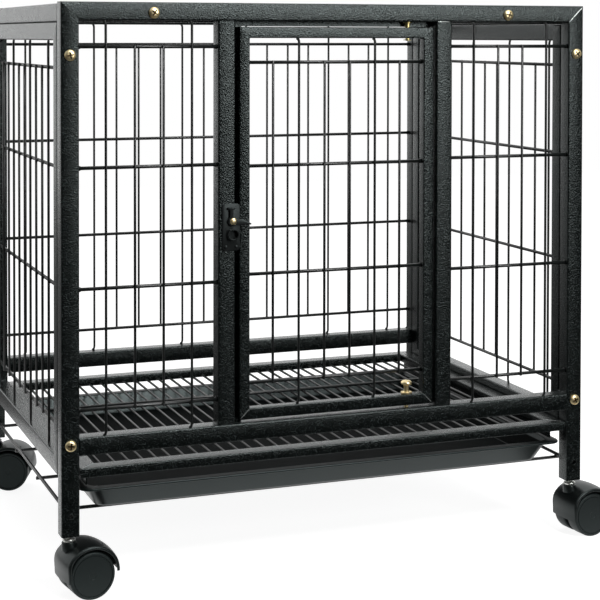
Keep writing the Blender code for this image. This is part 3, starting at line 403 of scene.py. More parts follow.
FRAME_COAT = HammertoneCoat(
    "hammertone", Slot.FRAME, (0.0012, 0.0019, 0.0018), 0.13,
    fleck=(0.034, 0.043, 0.042), fleck_share=0.80, cell=700.0, relief=0.58)
# Painted highlight: a much paler, flecked coat for the weld lines.
WELD_HIGHLIGHT_COAT = HammertoneCoat(
    "painted_weld_highlight", Slot.FRAME, (0.055, 0.062, 0.060), 0.30,
    fleck=(0.42, 0.44, 0.43), fleck_share=0.56, cell=800.0, relief=0.35, metallic=0.4)
BAR_COAT = WireCoat("wire_enamel", Slot.WIRE, (0.0045, 0.006, 0.0057), 0.28, speck=(0.12, 0.135, 0.13))
BRIGHT_BRASS = PlatedMetal(
    "brass_plate", Slot.BRASS, (0.97, 0.82, 0.48), 0.26,
    dull=(0.78, 0.58, 0.28), patch_size=0.004, relief=0.10)
# Painted shade: a dark brown for the faces inside the screws' cross recesses.
RECESS_SHADE_BRASS = PlatedMetal(
    "painted_recess_shade", Slot.BRASS, (0.11, 0.065, 0.03), 0.5,
    dull=(0.05, 0.03, 0.015), patch_size=0.002, relief=0.10)
YELLOW_ZINC = PlatedMetal(
    "yellow_zinc", Slot.ZINC, (0.90, 0.76, 0.36), 0.24,
    dull=(0.62, 0.50, 0.20), patch_size=0.003, relief=0.12)
BRIGHT_ZINC = PlatedMetal(
    "zinc", Slot.ZINC, (0.66, 0.67, 0.64), 0.26,
    dull=(0.36, 0.36, 0.34), patch_size=0.003, relief=0.12)
# The tray paints shade on its floor and inner right wall below the given height, and less of it on the lip
# above.
TRAY_PLASTIC = MouldedPlastic(
    "tray_polymer", Slot.TRAY, (0.005, 0.008, 0.008), 0.24,
    rubbed=(0.010, 0.015, 0.015), grain=1500.0, relief=0.10, specular=0.45, painted_shade_below=0.106)
WHEEL_NYLON = MouldedPlastic(
    "wheel_nylon", Slot.NYLON, (0.006, 0.0085, 0.0084), 0.42,
    rubbed=(0.012, 0.016, 0.0158), grain=1100.0, relief=0.16, specular=0.32)
LATCH_ENAMEL = MouldedPlastic(
    "latch_enamel", Slot.ZINC, (0.005, 0.006, 0.006), 0.30,
    rubbed=(0.03, 0.03, 0.03), grain=900.0, relief=0.10, specular=0.28)
HOOD_NYLON = MouldedPlastic(
    "hood_nylon", Slot.NYLON, (0.003, 0.0038, 0.0037), 0.26,
    rubbed=(0.008, 0.010, 0.0098), grain=900.0, relief=0.08, specular=0.38)


# forms


def spaced(first: float, last: float, count: int) -> list[float]:
    """Even places from the first to the last."""
    return [first + (last - first) * index / (count - 1) for index in range(count)]


def arc(radius: float, start: float, end: float, steps: int) -> Profile:
    """Points along an arc about the origin, by its angles in degrees."""
    angles = [math.radians(value) for value in spaced(start, end, steps + 1)]
    return [(radius * math.cos(angle), radius * math.sin(angle)) for angle in angles]


def shares(pairs: Iterable[tuple[float, float]], radius: float, rise: float, base: float = 0.0) -> Profile:
    """Points of a profile from their shares of a radius and of a rise above a base."""
    return [(radius * across, base + rise * up) for across, up in pairs]


def insets(pairs: Iterable[tuple[float, float]], radius: float, level: float) -> Profile:
    """Points of a profile from how far they lie inside a radius and above a level."""
    return [(radius - inset, level + rise) for inset, rise in pairs]


def shift(x: float = 0.0, y: float = 0.0, z: float = 0.0) -> Matrix:
    """A place beside the origin."""
    return Matrix.Translation((x, y, z))


def turn(degrees: float, axis: str = "Z") -> Matrix:
    """A turn about an axis."""
    return Matrix.Rotation(math.radians(degrees), 4, axis)


def facing(x: float, y: float, z: float, toward: float = 1.0) -> Matrix:
    """A place whose Z axis points to the front, or to the back where toward is -1."""
    return shift(x, y, z) @ turn(90.0 * toward, "X")


def of_kind(items: Iterable[Any], kind: type) -> list[Any]:
    """The vertices or the edges among an operator's results."""
    return [item for item in items if isinstance(item, kind)]


def running(axis: int, least: float = MERGE) -> Callable[[BMEdge], bool]:
    """A test for edges that run along an axis."""
    return lambda edge: abs(edge.verts[0].co[axis] - edge.verts[1].co[axis]) > least


def level(edge: BMEdge) -> bool:
    """Whether an edge lies level."""
    return abs(edge.verts[0].co.z - edge.verts[1].co.z) < MERGE


def sharp(edge: BMEdge) -> bool:
    """Whether the faces at an edge meet at more than about 57 degrees."""
    return edge.calc_face_angle(0) > 1.0


class Form:
    """A mesh in the making, shaped with bmesh operators."""

    def __init__(self) -> None:
        """Start empty."""
        self.bm = bmesh.new()

    def block(self, low: Point, high: Point) -> "Form":
        """Add a block.

        Args:
            low: Its lowest corner.
            high: Its highest corner.

        Returns:
            This form.
        """
        low, high = Vector(low), Vector(high)
        place = Matrix.Translation((low + high) / 2) @ Matrix.Diagonal((*(high - low), 1.0))
        bmesh.ops.create_cube(self.bm, size=1.0, matrix=place)
        return self

    def round_edges(self, chosen: Callable[[BMEdge], bool], radius: float, steps: int) -> "Form":
        """Round the edges that a test chooses.

        Args:
            chosen: The test.
            radius: How far the rounding reaches.
            steps: Its segments.

        Returns:
            This form.
        """
        bmesh.ops.bevel(
            self.bm, geom=[edge for edge in self.bm.edges if chosen(edge)], offset=radius, segments=steps,
            profile=0.5, affect="EDGES", material=-1, offset_type="OFFSET", clamp_overlap=True,
        )
        return self

    def slice(self, point: Point, outward: Point) -> "Form":
        """Cut away what lies beyond a plane, and close the cut.

        Args:
            point: A point on the plane.
            outward: The plane's normal, on the side that goes.

        Returns:
            This form.
        """
        geom = [*self.bm.verts, *self.bm.edges, *self.bm.faces]
        cut = bmesh.ops.bisect_plane(self.bm, geom=geom, plane_co=point, plane_no=outward, clear_outer=True)
        bmesh.ops.edgeloop_fill(self.bm, edges=of_kind(cut["geom_cut"], BMEdge))
        return self

    def tidy(self) -> "Form":
        """Merge doubles and turn the faces outwards.

        Returns:
            This form.
        """
        bmesh.ops.remove_doubles(self.bm, verts=self.bm.verts, dist=MERGE)
        bmesh.ops.recalc_face_normals(self.bm, faces=self.bm.faces)
        return self

    def mesh(self, name: str, place: Matrix = Matrix()) -> bpy.types.Mesh:
        """Make a mesh from the form.

        Args:
            name: The mesh's name.
            place: Where it goes.

        Returns:
            The mesh.
        """
        mesh = bpy.data.meshes.new(name)
        self.bm.to_mesh(mesh)
        mesh.transform(place)
        return mesh

    def add(self, other: "Form", place: Matrix = Matrix()) -> "Form":
        """Add another form as a part of this one.

        Args:
            other: The form to add.
            place: Where it goes.

        Returns:
            This form.
        """
        mesh = other.mesh("part", place)
        self.bm.from_mesh(mesh)
        bpy.data.meshes.remove(mesh)
        return self

    def combine(self, other: "Form", place: Matrix = Matrix(), operation: str = "DIFFERENCE") -> "Form":
        """Cut this solid with another, or join the two.

        Args:
            other: The cutter, or the solid to join on.
            place: Where it goes.
            operation: The Boolean's operation.

        Returns:
            This form.
        """
        base = bpy.data.objects.new("base", self.mesh("base"))
        tool = bpy.data.objects.new("tool", other.mesh("tool", place))
        for obj in (base, tool):
            bpy.context.scene.collection.objects.link(obj)
        boolean = base.modifiers.new("boolean", "BOOLEAN")
        boolean.operation = operation
        boolean.solver = "EXACT"
        boolean.object = tool
        graph = bpy.context.evaluated_depsgraph_get()
        result = bpy.data.meshes.new_from_object(base.evaluated_get(graph))
        self.bm.clear()
        self.bm.from_mesh(result)
        for mesh in (result, base.data, tool.data):
            bpy.data.meshes.remove(mesh)
        return self.tidy()

    def drill(self, radius: float, high: float, low: float, place: Matrix = Matrix(),
              steps: int = 24) -> "Form":
        """Cut a round hole.

        Args:
            radius: The hole's radius.
            high: Where the drill ends along its Z axis.
            low: Where it starts.
            place: Where the drill's origin goes.
            steps: Sides of the hole.

        Returns:
            This form.
        """
        return self.combine(Form.turned([(0, high), (radius, high), (radius, low), (0, low)], steps), place)

    @classmethod
    def turned(cls, profile: Iterable[tuple[float, float]], steps: int = 40) -> "Form":
        """Turn a profile about Z.

        Args:
            profile: Points as radius and height.
            steps: Sides of the full turn.

        Returns:
            The turned form.
        """
        form = cls()
        verts = [form.bm.verts.new((radius, 0.0, height)) for radius, height in profile]
        edges = [form.bm.edges.new(pair) for pair in zip(verts, verts[1:])]
        bmesh.ops.spin(
            form.bm, geom=[*verts, *edges], cent=(0, 0, 0), axis=(0, 0, 1), angle=2 * math.pi, steps=steps,
            use_merge=True,
        )
        return form.tidy()

    @classmethod
    def swept(cls, points: Sequence[Point], radii: Sequence[float], sides: int = 10) -> "Form":
        """Sweep a round section along points.

        Args:
            points: The wire's middle line.
            radii: A radius for each point.
            sides: Sides of the section.

        Returns:
            A closed wire.
        """
        form = cls()
        path = [Vector(point) for point in points]
        runs = [(after - before).normalized() for before, after in zip(path, path[1:])]
        headings = [runs[0], *[(a + b).normalized() for a, b in zip(runs, runs[1:])], runs[-1]]
        heading, twist, places = headings[0], headings[0].to_track_quat("Z", "Y"), []
        for point, ahead, radius in zip(path, headings, radii):
            if places:
                twist = heading.rotation_difference(ahead) @ twist
            heading = ahead
            size = Matrix.Diagonal((radius,) * 3).to_4x4()
            places.append(Matrix.Translation(point) @ twist.to_matrix().to_4x4() @ size)
        ring = bmesh.ops.create_circle(form.bm, cap_ends=True, radius=1.0, segments=sides)["verts"]
        edges = list(form.bm.edges)
        bmesh.ops.transform(form.bm, matrix=places[0], verts=ring)
        for before, after in zip(places, places[1:]):
            made = bmesh.ops.extrude_edge_only(form.bm, edges=edges)["geom"]
            edges = of_kind(made, BMEdge)
            bmesh.ops.transform(form.bm, matrix=after @ before.inverted(), verts=of_kind(made, BMVert))
        bmesh.ops.edgeloop_fill(form.bm, edges=edges)
        bmesh.ops.recalc_face_normals(form.bm, faces=form.bm.faces)
        return form

    @classmethod
    def nugget(cls, centre: Point, radii: Sequence[float]) -> "Form":
        """A small rounded lump of weld.

        Args:
            centre: Its middle.
            radii: Its radius along each axis.

        Returns:
            The lump.
        """
        form = cls()
        place = Matrix.Translation(Vector(centre)) @ Matrix.Diagonal((*radii, 1.0))
        bmesh.ops.create_icosphere(form.bm, subdivisions=2, radius=1.0, matrix=place)
        return form

    @classmethod
    def bead(cls, start: Point, end: Point, radius: float, ripple: float = 0.0012) -> "Form":
        """A weld bead with ripples along it, tapered at both ends.

        Args:
            start: One end.
            end: The other end.
            radius: The bead's radius.
            ripple: Length of one ripple.

        Returns:
            The bead.
        """
        start, end = Vector(start), Vector(end)
        count = max(4, round((end - start).length / ripple))
        points = [start.lerp(end, index / count) for index in range(count + 1)]
        swell = [radius * (0.86 + 0.14 * (index % 2)) for index in range(count + 1)]
        swell[0] = swell[-1] = radius * 0.35
        return cls.swept(points, swell, 8)

    @classmethod
    def plate(cls, outline: Profile, thickness: float, edge: float, steps: int) -> "Form":
        """A flat plate about the XY plane, with rounded rims.

        Args:
            outline: Points around it.
            thickness: Its thickness.
            edge: Radius of the rims.
            steps: Segments of the rims.

        Returns:
            The plate.
        """
        form = cls()
        face = form.bm.faces.new([form.bm.verts.new((x, y, -thickness / 2)) for x, y in outline])
        top = bmesh.ops.extrude_face_region(form.bm, geom=[face])["geom"]
        bmesh.ops.translate(form.bm, vec=(0, 0, thickness), verts=of_kind(top, BMVert))
        return form.tidy().round_edges(level, edge, steps)


# publishing


ORIGIN = Vector((*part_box("front_frame")[0].xy, 0.0))


def node_box(node: str) -> tuple[Vector, Vector]:
    """A node's corners, measured from the front left leg's outer corner."""
    low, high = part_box(node)
    return low - ORIGIN, high - ORIGIN


def node_middle(node: str) -> Vector:
    """The middle of a node's box."""
    low, high = node_box(node)
    return (low + high) / 2


def publish(form: Form, name: str, body: str, finish: Finish, hard_angle: float = PLAIN_CREASE,
            place: Matrix = Matrix(), stands_for: Sequence[str] = ()) -> bpy.types.Object:
    """Turn a form into a finished piece of the scene.

    Args:
        form: The piece's shape.
        name: Its name in the scene.
        body: The CAD body that it rides on.
        finish: Its finish.
        hard_angle: Edges sharper than this stay hard, in degrees.
        place: Where the form goes, from the front left leg's outer corner.
        stands_for: The CAD nodes that it replaces.

    Returns:
        The new object.
    """
    mesh = form.mesh(name, Matrix.Translation(ORIGIN) @ place)
    mesh.shade_smooth()
    mesh.set_sharp_from_angle(angle=math.radians(hard_angle))
    mesh.materials.append(finish.material())
    obj = bpy.data.objects.new(name, mesh)
    bpy.context.scene.collection.objects.link(obj)
    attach(obj, body)
    if stands_for:
        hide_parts(*stands_for)
    LOG.info("%s: %d faces, rides on %s", name, len(mesh.polygons), body)
    return obj


def stand_in(form: Form, node: str, ending: str, body: str, finish: Finish, hard_angle: float = PLAIN_CREASE,
             place: Matrix = Matrix()) -> bpy.types.Object:
    """Publish a form in the place of one CAD node, under the node's name and an ending."""
    return publish(form, f"{node}_{ending}", body, finish, hard_angle, place, (node,))


def dress_node(node: str, finish: Finish) -> None:
    """Give a CAD node that stays in view its finish.

    Args:
        node: The node.
        finish: Its finish.
    """
    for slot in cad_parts[node].material_slots:
        slot.material = finish.material()
    LOG.info("%s keeps its own shape", node)


# tube frames


@dataclass(frozen=True)
class TubeStock:
    """Square or flat steel tube, cut to length with square or mitred ends."""

    width: float
    corner: float
    corner_steps: int = 4

    def cut(self, low: Point, high: Point, along: int, mitres: Sequence[Side] = (), across: int = 0,
            side: Side = Side.LOW) -> Form:
        """Cut one length of tube.

        Args:
            low: Its lowest corner.
            high: Its highest corner.
            along: The axis that it runs along.
            mitres: The ends that are mitred.
            across: The other axis of the frame's plane.
            side: The side of the frame that it stands on, along that axis.

        Returns:
            The tube as a closed form.
        """
        low, high = Vector(low), Vector(high)
        form = Form().block(low, high).round_edges(running(along), self.corner, self.corner_steps)
        for end in mitres:
            point, outward = low.copy(), Vector((0, 0, 0))
            point[along] = high[along] if end is Side.HIGH else low[along]
            point[across] = high[across] if side is Side.HIGH else low[across]
            outward[along] = end.value
            outward[across] = -side.value
            form.slice(point, outward.normalized())
        return form.tidy()

    def ring(self, low: Vector, high: Vector, u: int, v: int) -> Form:
        """Cut a frame of four mitred lengths.

        Args:
            low: The frame's lowest corner.
            high: Its highest corner.
            u: One axis of its plane.
            v: The other axis.

        Returns:
            The frame without its welds.
        """
        form = Form()
        for (along, across), side in product(((u, v), (v, u)), Side):
            near, far = low.copy(), high.copy()
            if side is Side.LOW:
                far[across] = low[across] + self.width
            else:
                near[across] = high[across] - self.width
            form.add(self.cut(near, far, along, tuple(Side), across, side))
        return form


POST_TUBE = TubeStock(0.01905, 0.0018)
DOOR_TUBE = TubeStock(0.0120, 0.0012)
GRID_TUBE = TubeStock(0.0190, 0.0012)


@dataclass(frozen=True)
class EndFrame:
    """The front or the back frame: legs, a top rail, a sill, and the stiles of a doorway."""

    node: str
    doorway: float = 0.0
    height: float = 0.4671
    tube: TubeStock = POST_TUBE
    rack_hole: float = 0.0027
    rack_hole_lip: float = 0.0009
    pin_hole: float = 0.0008
    pin_hole_depth: float = 0.0020
    pin_hole_rise: float = 0.0130
    stem_hole: float = 0.00535
    stem_hole_depth: float = 0.0163
    weld: Triple = (0.0016, 0.0024, 0.0013)
    bead: float = 0.0011

    @property
    def box(self) -> tuple[Vector, Vector]:
        """The node's corners."""
        return node_box(self.node)

    def levels(self) -> Triple:
        """Heights of the sill's bottom and top and of the top rail's bottom."""
        top = self.box[1].z
        return top - self.height, top - self.height + self.tube.width, top - self.tube.width

    def leg(self, left: float, side: Side, rack_height: float) -> Form:
        """Cut one leg and post, with its holes.

        Args:
            left: Where its left side stands.
            side: The side of the frame that it is on.
            rack_height: Height of the tray rack's wires, which end in it.

        Returns:
            The leg.
        """
        low, high = self.box
        wide = self.tube.width
        middle, centre = left + wide / 2, (low.y + high.y) / 2
        form = self.tube.cut((left, low.y, low.z), (left + wide, high.y, high.z), 2, (Side.HIGH,), 0, side)
        form.drill(self.rack_hole, wide, -wide, facing(middle, centre, rack_height))
        spot = facing(middle, low.y, rack_height + self.pin_hole_rise)
        form.drill(self.pin_hole, GAP, -self.pin_hole_depth, spot, 16)
        form.drill(self.stem_hole, self.stem_hole_depth, -GAP, shift(middle, centre, low.z))
        lip = [(0, -GAP), (0, 0.0001), (0.0002, 0.00022), (0.0006, 0.00016),
               (self.rack_hole_lip, -GAP), (0, -GAP)]
        raised = Form.turned([(self.rack_hole + out, rise) for out, rise in lip], 24)
        for y, toward in ((low.y, 1.0), (high.y, -1.0)):
            form.add(raised, facing(middle, y, rack_height, toward))
        return form

    def build(self, rack_height: float) -> Form:
        """Weld the frame together.

        Args:
            rack_height: Height of the tray rack's wires.

        Returns:
            The frame.
        """
        low, high = self.box
        wide = self.tube.width
        sill, sill_top, rail = self.levels()
        inner = (low.x + wide, high.x - wide)
        form = self.leg(low.x, Side.LOW, rack_height).add(self.leg(inner[1], Side.HIGH, rack_height))
        form.add(self.tube.cut((low.x, low.y, rail), high, 0, tuple(Side), 2, Side.HIGH))
        form.add(self.tube.cut((inner[0], low.y, sill), (inner[1], high.y, sill_top), 0))
        for x, y, z in product(inner, (low.y + wide * 0.5, high.y - 0.002), (sill, sill_top)):
            form.add(Form.nugget((x, y, z), self.weld))
        if self.doorway:
            middle = (low.x + high.x) / 2
            for left in (middle - self.doorway / 2 - wide, middle + self.doorway / 2):
                form.add(self.tube.cut((left, low.y, sill_top), (left + wide, high.y, rail), 2))
                for x, z in product((left, left + wide), (sill_top, rail)):
                    form.add(Form.bead((x, low.y + 0.004, z), (x, high.y - 0.003, z), self.bead))
        for x in inner:
            form.add(Form.bead((x, low.y + 0.003, rail), (x, high.y - 0.003, rail), self.bead))
        return form

    def dress(self, rack_height: float) -> None:
        """Publish the frame."""
        stand_in(self.build(rack_height), self.node, "tubes", "cage", FRAME_COAT)


@dataclass(frozen=True)
class RingFrame:
    """A plain frame of four mitred tubes."""

    node: str
    body: str
    tube: TubeStock
    plane: tuple[int, int]
    bead: float = 0.0010

    def dress(self) -> None:
        """Weld the frame and publish it."""
        low, high = node_box(self.node)
        normal = 3 - sum(self.plane)
        form = self.tube.ring(low, high, *self.plane)
        for ends in product(Side, Side):
            near, far = low.copy(), high.copy()
            for axis, end in zip(self.plane, ends):
                inner = low[axis] + self.tube.width if end is Side.LOW else high[axis] - self.tube.width
                near[axis] = far[axis] = inner
            near[normal] += self.tube.corner
            far[normal] -= self.tube.corner
            form.add(Form.bead(near, far, self.bead))
        stand_in(form, self.node, "tubes", self.body, FRAME_COAT)


@dataclass(frozen=True)
class DoorStop:
    """Two thin strips: one inside the left stile behind the door, one under the rail above it."""

    width: float = 0.0120
    thickness: float = 0.0015
    clearance: float = 0.0006

    def dress(self, front: EndFrame) -> None:
        """Cut the upright strip and the one under the top rail.

        Args:
            front: The front frame, whose doorway the strips close.
        """
        low, high = front.box
        left = (low.x + high.x - front.doorway) / 2
        door = node_box("door_frame")[1]
        back, head = door.y + self.clearance, door.z + self.clearance
        _, sill, rail = front.levels()
        strip = Form().block((left, back, sill), (left + self.width, back + self.thickness, rail))
        strip.block((left + self.width, back, head), (left + front.doorway, back + self.thickness, rail))
        publish(strip, "door_stop", "cage", FRAME_COAT)


@dataclass(frozen=True)
class WeldHighlightLines:
    """Thin raised lines along the mitre welds, coloured far paler than the coat: a painted highlight on their
    raised shape.
    """

    doorway: float
    ripple: float = 0.0020
    corner: float = 0.0007
    stile: float = 0.0009
    small: float = 0.0005
    inset: float = 0.0016
    stop: float = 0.0006

    def line(self, name: str, body: str, start: Triple, end: Triple, radius: float) -> None:
        """Publish one line."""
        publish(Form.bead(start, end, radius, self.ripple), name, body, WELD_HIGHLIGHT_COAT)

    def dress(self) -> None:
        """Publish the lines of the front frame, the door and the floor grid."""
        low, high = node_box("front_frame")
        wide = POST_TUBE.width
        self.line("mitre_front_right", "cage", (high.x - 0.0022, low.y, high.z - 0.0022),
                  (high.x - wide + 0.0004, low.y, high.z - wide + 0.0004), self.corner)
        stile, rail = (low.x + high.x) / 2 + self.doorway / 2, high.z - wide
        self.line("weld_stile_top_right", "cage", (stile + 0.0014, low.y + 0.0002, rail),
                  (stile + wide - 0.0030, low.y + 0.0002, rail), self.stile)
        low, high = node_box("door_frame")
        near, far = self.inset, DOOR_TUBE.width - self.stop
        for name, x, inward in (("left", low.x, 1), ("right", high.x, -1)):
            self.line(f"mitre_door_bottom_{name}", "door", (x + inward * near, low.y, low.z + near),
                      (x + inward * far, low.y, low.z + far), self.small)
        low, high = node_box("floor_grid_frame")
        far, top = GRID_TUBE.width - self.stop, high.z - 0.0002
        for name, x, inward in (("left", low.x, 1), ("right", high.x, -1)):
            self.line(f"mitre_grid_front_{name}", "floor_grid", (x + inward * near, low.y + near, top),
                      (x + inward * far, low.y + far, top), self.small)


# wire panels


@dataclass(frozen=True)
class WireStock:
    """The two sizes of wire in a panel, and how they are welded."""

    bar: float = 0.0028
    cross: float = 0.0038
    sink: float = 0.0003
    overhang: float = 0.0019
    tip: float = 0.0004
    tip_share: float = 0.72
    hook: float = 0.0015
    hook_rise: float = 0.0040
    weld_depth: float = 0.0011
    bar_weld: tuple[float, float] = (0.0020, 0.0014)
    cross_weld: tuple[float, float] = (0.0022, 0.0027)
    joint_weld: tuple[float, float] = (0.0022, 0.0021)
    sides: int = 10

    @property
    def step(self) -> float:
        """How far the cross wires lie behind the bars."""
        return (self.bar + self.cross) / 2 - self.sink

    def wire(self, points: Sequence[Vector], diameter: float) -> Form:
        """A wire along points, with softly sheared ends."""
        radius, end = diameter / 2, diameter / 2 * self.tip_share
        return Form.swept(points, [end, *[radius] * (len(points) - 2), end], self.sides)

    def run(self, start: Vector, end: Vector, diameter: float) -> Form:
        """One straight wire."""
        tip = (end - start).normalized() * self.tip
        return self.wire((start, start + tip, end - tip, end), diameter)


@dataclass(frozen=True)
class WirePanel:
    """Bars welded to cross wires behind them, in the opening of a frame."""

    node: str
    body: str
    normal: int
    face: float
    inward: int
    bars: Sequence[float]
    crosses: Sequence[float]
    span: tuple[float, float]
    rise: tuple[float, float]
    depth: float = 0.0025
    stock: WireStock = WireStock()
    all_reach: bool = False
    crosses_over: bool = False

    def point(self, across: float, up: float, depth: float) -> Vector:
        """A point of the panel.

        Args:
            across: Its place across the panel.
            up: Its place up the panel.
            depth: Its depth behind the face.

        Returns:
            The point.
        """
        place = [across, up]
        place.insert(self.normal, self.face + self.inward * depth)
        return Vector(place)

    def long_bars(self) -> set[int]:
        """Numbers of the bars that are long enough to be welded to the tubes.

        Returns:
            All of them in the floor grid, two in the door, and every third or fourth elsewhere.
        """
        last = len(self.bars) - 1
        if self.all_reach:
            return set(range(last + 1))
        if last == 5:
            return {1, 4}
        gaps = max(1, round(last / 3.3))
        return {round(last * step / gaps) for step in range(gaps + 1)}

    def bar(self, across: float, low: float, high: float, bent: bool) -> Form:
        """Make one bar.

        Args:
            across: Its place across the panel.
            low: Its lower end.
            high: Its upper end.
            bent: Whether each end is bent a little aside, where it meets the tube.

        Returns:
            The bar.
        """
        stock = self.stock
        if not bent:
            ends = (self.point(across, up, self.depth) for up in (low, high))
            return stock.run(*ends, stock.bar)
        rise = stock.hook_rise
        bend = ((0.0, 0.0), (stock.tip, 0.12), (rise * 0.45, 0.62), (rise * 0.8, 0.93), (rise * 1.2, 1.0))
        foot = [self.point(across - stock.hook * (1 - share), low + run, self.depth) for run, share in bend]
        head = [self.point(across - stock.hook * (1 - share), high - run, self.depth) for run, share in bend]
        return stock.wire([*foot, *head[::-1]], stock.bar)

    def weld(self, across: float, up: float, depth: float, wide: float, tall: float) -> Form:
        """Make a nugget of weld that stays inside the panel's opening.

        Args:
            across: Its place across the panel.
            up: Its place up the panel.
            depth: Its depth behind the face.
            wide: Its radius across.
            tall: Its radius up.

        Returns:
            The nugget.
        """
        up = min(max(up, self.rise[0] + tall * 0.55), self.rise[1] - tall * 0.55)
        across = min(max(across, self.span[0] + wide * 0.55), self.span[1] - wide * 0.55)
        radii = [wide, tall]
        radii.insert(self.normal, self.stock.weld_depth)
        return Form.nugget(self.point(across, up, depth), radii)

    def build(self) -> Form:
        """Weld the panel.

        Returns:
            The panel.
        """
        form, stock = Form(), self.stock
        low, high = self.rise[0] + GAP, self.rise[1] - GAP
        first, last = min(self.crosses) - stock.overhang, max(self.crosses) + stock.overhang
        left, right = self.span[0] + GAP, self.span[1] - GAP
        behind = self.depth + (-stock.step if self.crosses_over else stock.step)
        reaching = self.long_bars()
        for index, across in enumerate(self.bars):
            ends = (low, high) if index in reaching else (first, last)
            form.add(self.bar(across, *ends, index in reaching and not self.all_reach))
            for up in ends if index in reaching else ():
                form.add(self.weld(across - stock.hook, up, self.depth, *stock.bar_weld))
        for up in self.crosses:
            form.add(stock.run(self.point(left, up, behind), self.point(right, up, behind), stock.cross))
            for across in (left, right):
                form.add(self.weld(across, up, behind, *stock.cross_weld))
            for across in self.bars:
                form.add(self.weld(across, up, self.depth * 0.55 + behind * 0.45, *stock.joint_weld))
        return form

    def dress(self) -> None:
        """Publish the panel."""
        stand_in(self.build(), self.node, "wires", self.body, BAR_COAT, WIRE_CREASE)


@dataclass(frozen=True)
class Panels:
    """The five wire panels of the frame, and the door's."""

    tube: float = POST_TUBE.width
    front_margin: float = 0.0283
    wide_margin: float = 0.0301
    side_margin: float = 0.0353
    end_cross: float = 0.0272
    side_cross: float = 0.0286
    side_steps: tuple[float, float] = (0.1035, 0.1246)
    top_cross: float = 0.0300
    door_margin: float = 0.0277
    door_cross: float = 0.0260
    door_steps: tuple[float, float] = (0.1110, 0.1170)
    door_depth: float = 0.0045

    def front_and_back(self, end: EndFrame) -> list[WirePanel]:
        """Panels each side of the doorway, and the back panel.

        Args:
            end: The front frame.

        Returns:
            The three panels.
        """
        low, high = end.box
        rise = end.levels()[1:]
        crosses = spaced(rise[0] + self.end_cross, rise[1] - self.end_cross, 4)
        middle = (low.x + high.x) / 2
        stile = middle - end.doorway / 2 - self.tube
        span = (low.x + self.tube, high.x - self.tube)
        back = node_box("back_frame")[1].y
        return [
            WirePanel(node, "cage", 1, face, inward, spaced(left + margin, right - margin, count), crosses,
                      (left, right), rise)
            for node, face, inward, left, right, margin, count in (
                ("front_left_mesh", low.y, 1, span[0], stile, self.front_margin, 4),
                ("front_right_mesh", low.y, 1, 2 * middle - stile, span[1], self.front_margin, 4),
                ("back_mesh", back, -1, *span, self.wide_margin, 18),
            )
        ]

    def sides_and_top(self) -> list[WirePanel]:
        """The side panels and the top panel.

        Returns:
            The three panels.
        """
        panels = []
        for name, inward in (("left", 1), ("right", -1)):
            low, high = node_box(f"{name}_frame")
            span, rise = (low.y + self.tube, high.y - self.tube), (low.z + self.tube, high.z - self.tube)
            upper = rise[1] - self.side_cross
            second = upper - self.side_steps[0]
            crosses = (upper, second, second - self.side_steps[1], rise[0] + self.side_cross)
            bars = spaced(span[0] + self.side_margin, span[1] - self.side_margin, 10)
            face = low.x if inward == 1 else high.x
            panels.append(WirePanel(f"{name}_mesh", "cage", 0, face, inward, bars, crosses, span, rise))
        low, high = node_box("top_frame")
        span, rise = (low.x + self.tube, high.x - self.tube), (low.y + self.tube, high.y - self.tube)
        bars = spaced(span[0] + self.wide_margin, span[1] - self.wide_margin, 18)
        crosses = spaced(rise[0] + self.top_cross, rise[1] - self.top_cross, 3)
        return [*panels, WirePanel("top_mesh", "cage", 2, high.z, -1, bars, crosses, span, rise)]

    def door(self) -> WirePanel:
        """The door's panel.

        Returns:
            The panel.
        """
        low, high = node_box("door_frame")
        tube = DOOR_TUBE.width
        span, rise = (low.x + tube, high.x - tube), (low.z + tube, high.z - tube)
        top, bottom = rise[1] - self.door_cross, rise[0] + self.door_cross
        crosses = (top, top - self.door_steps[0], bottom + self.door_steps[1], bottom)
        bars = spaced(span[0] + self.door_margin, span[1] - self.door_margin, 6)
        return WirePanel("door_mesh", "door", 1, low.y, 1, bars, crosses, span, rise, self.door_depth)


# fasteners


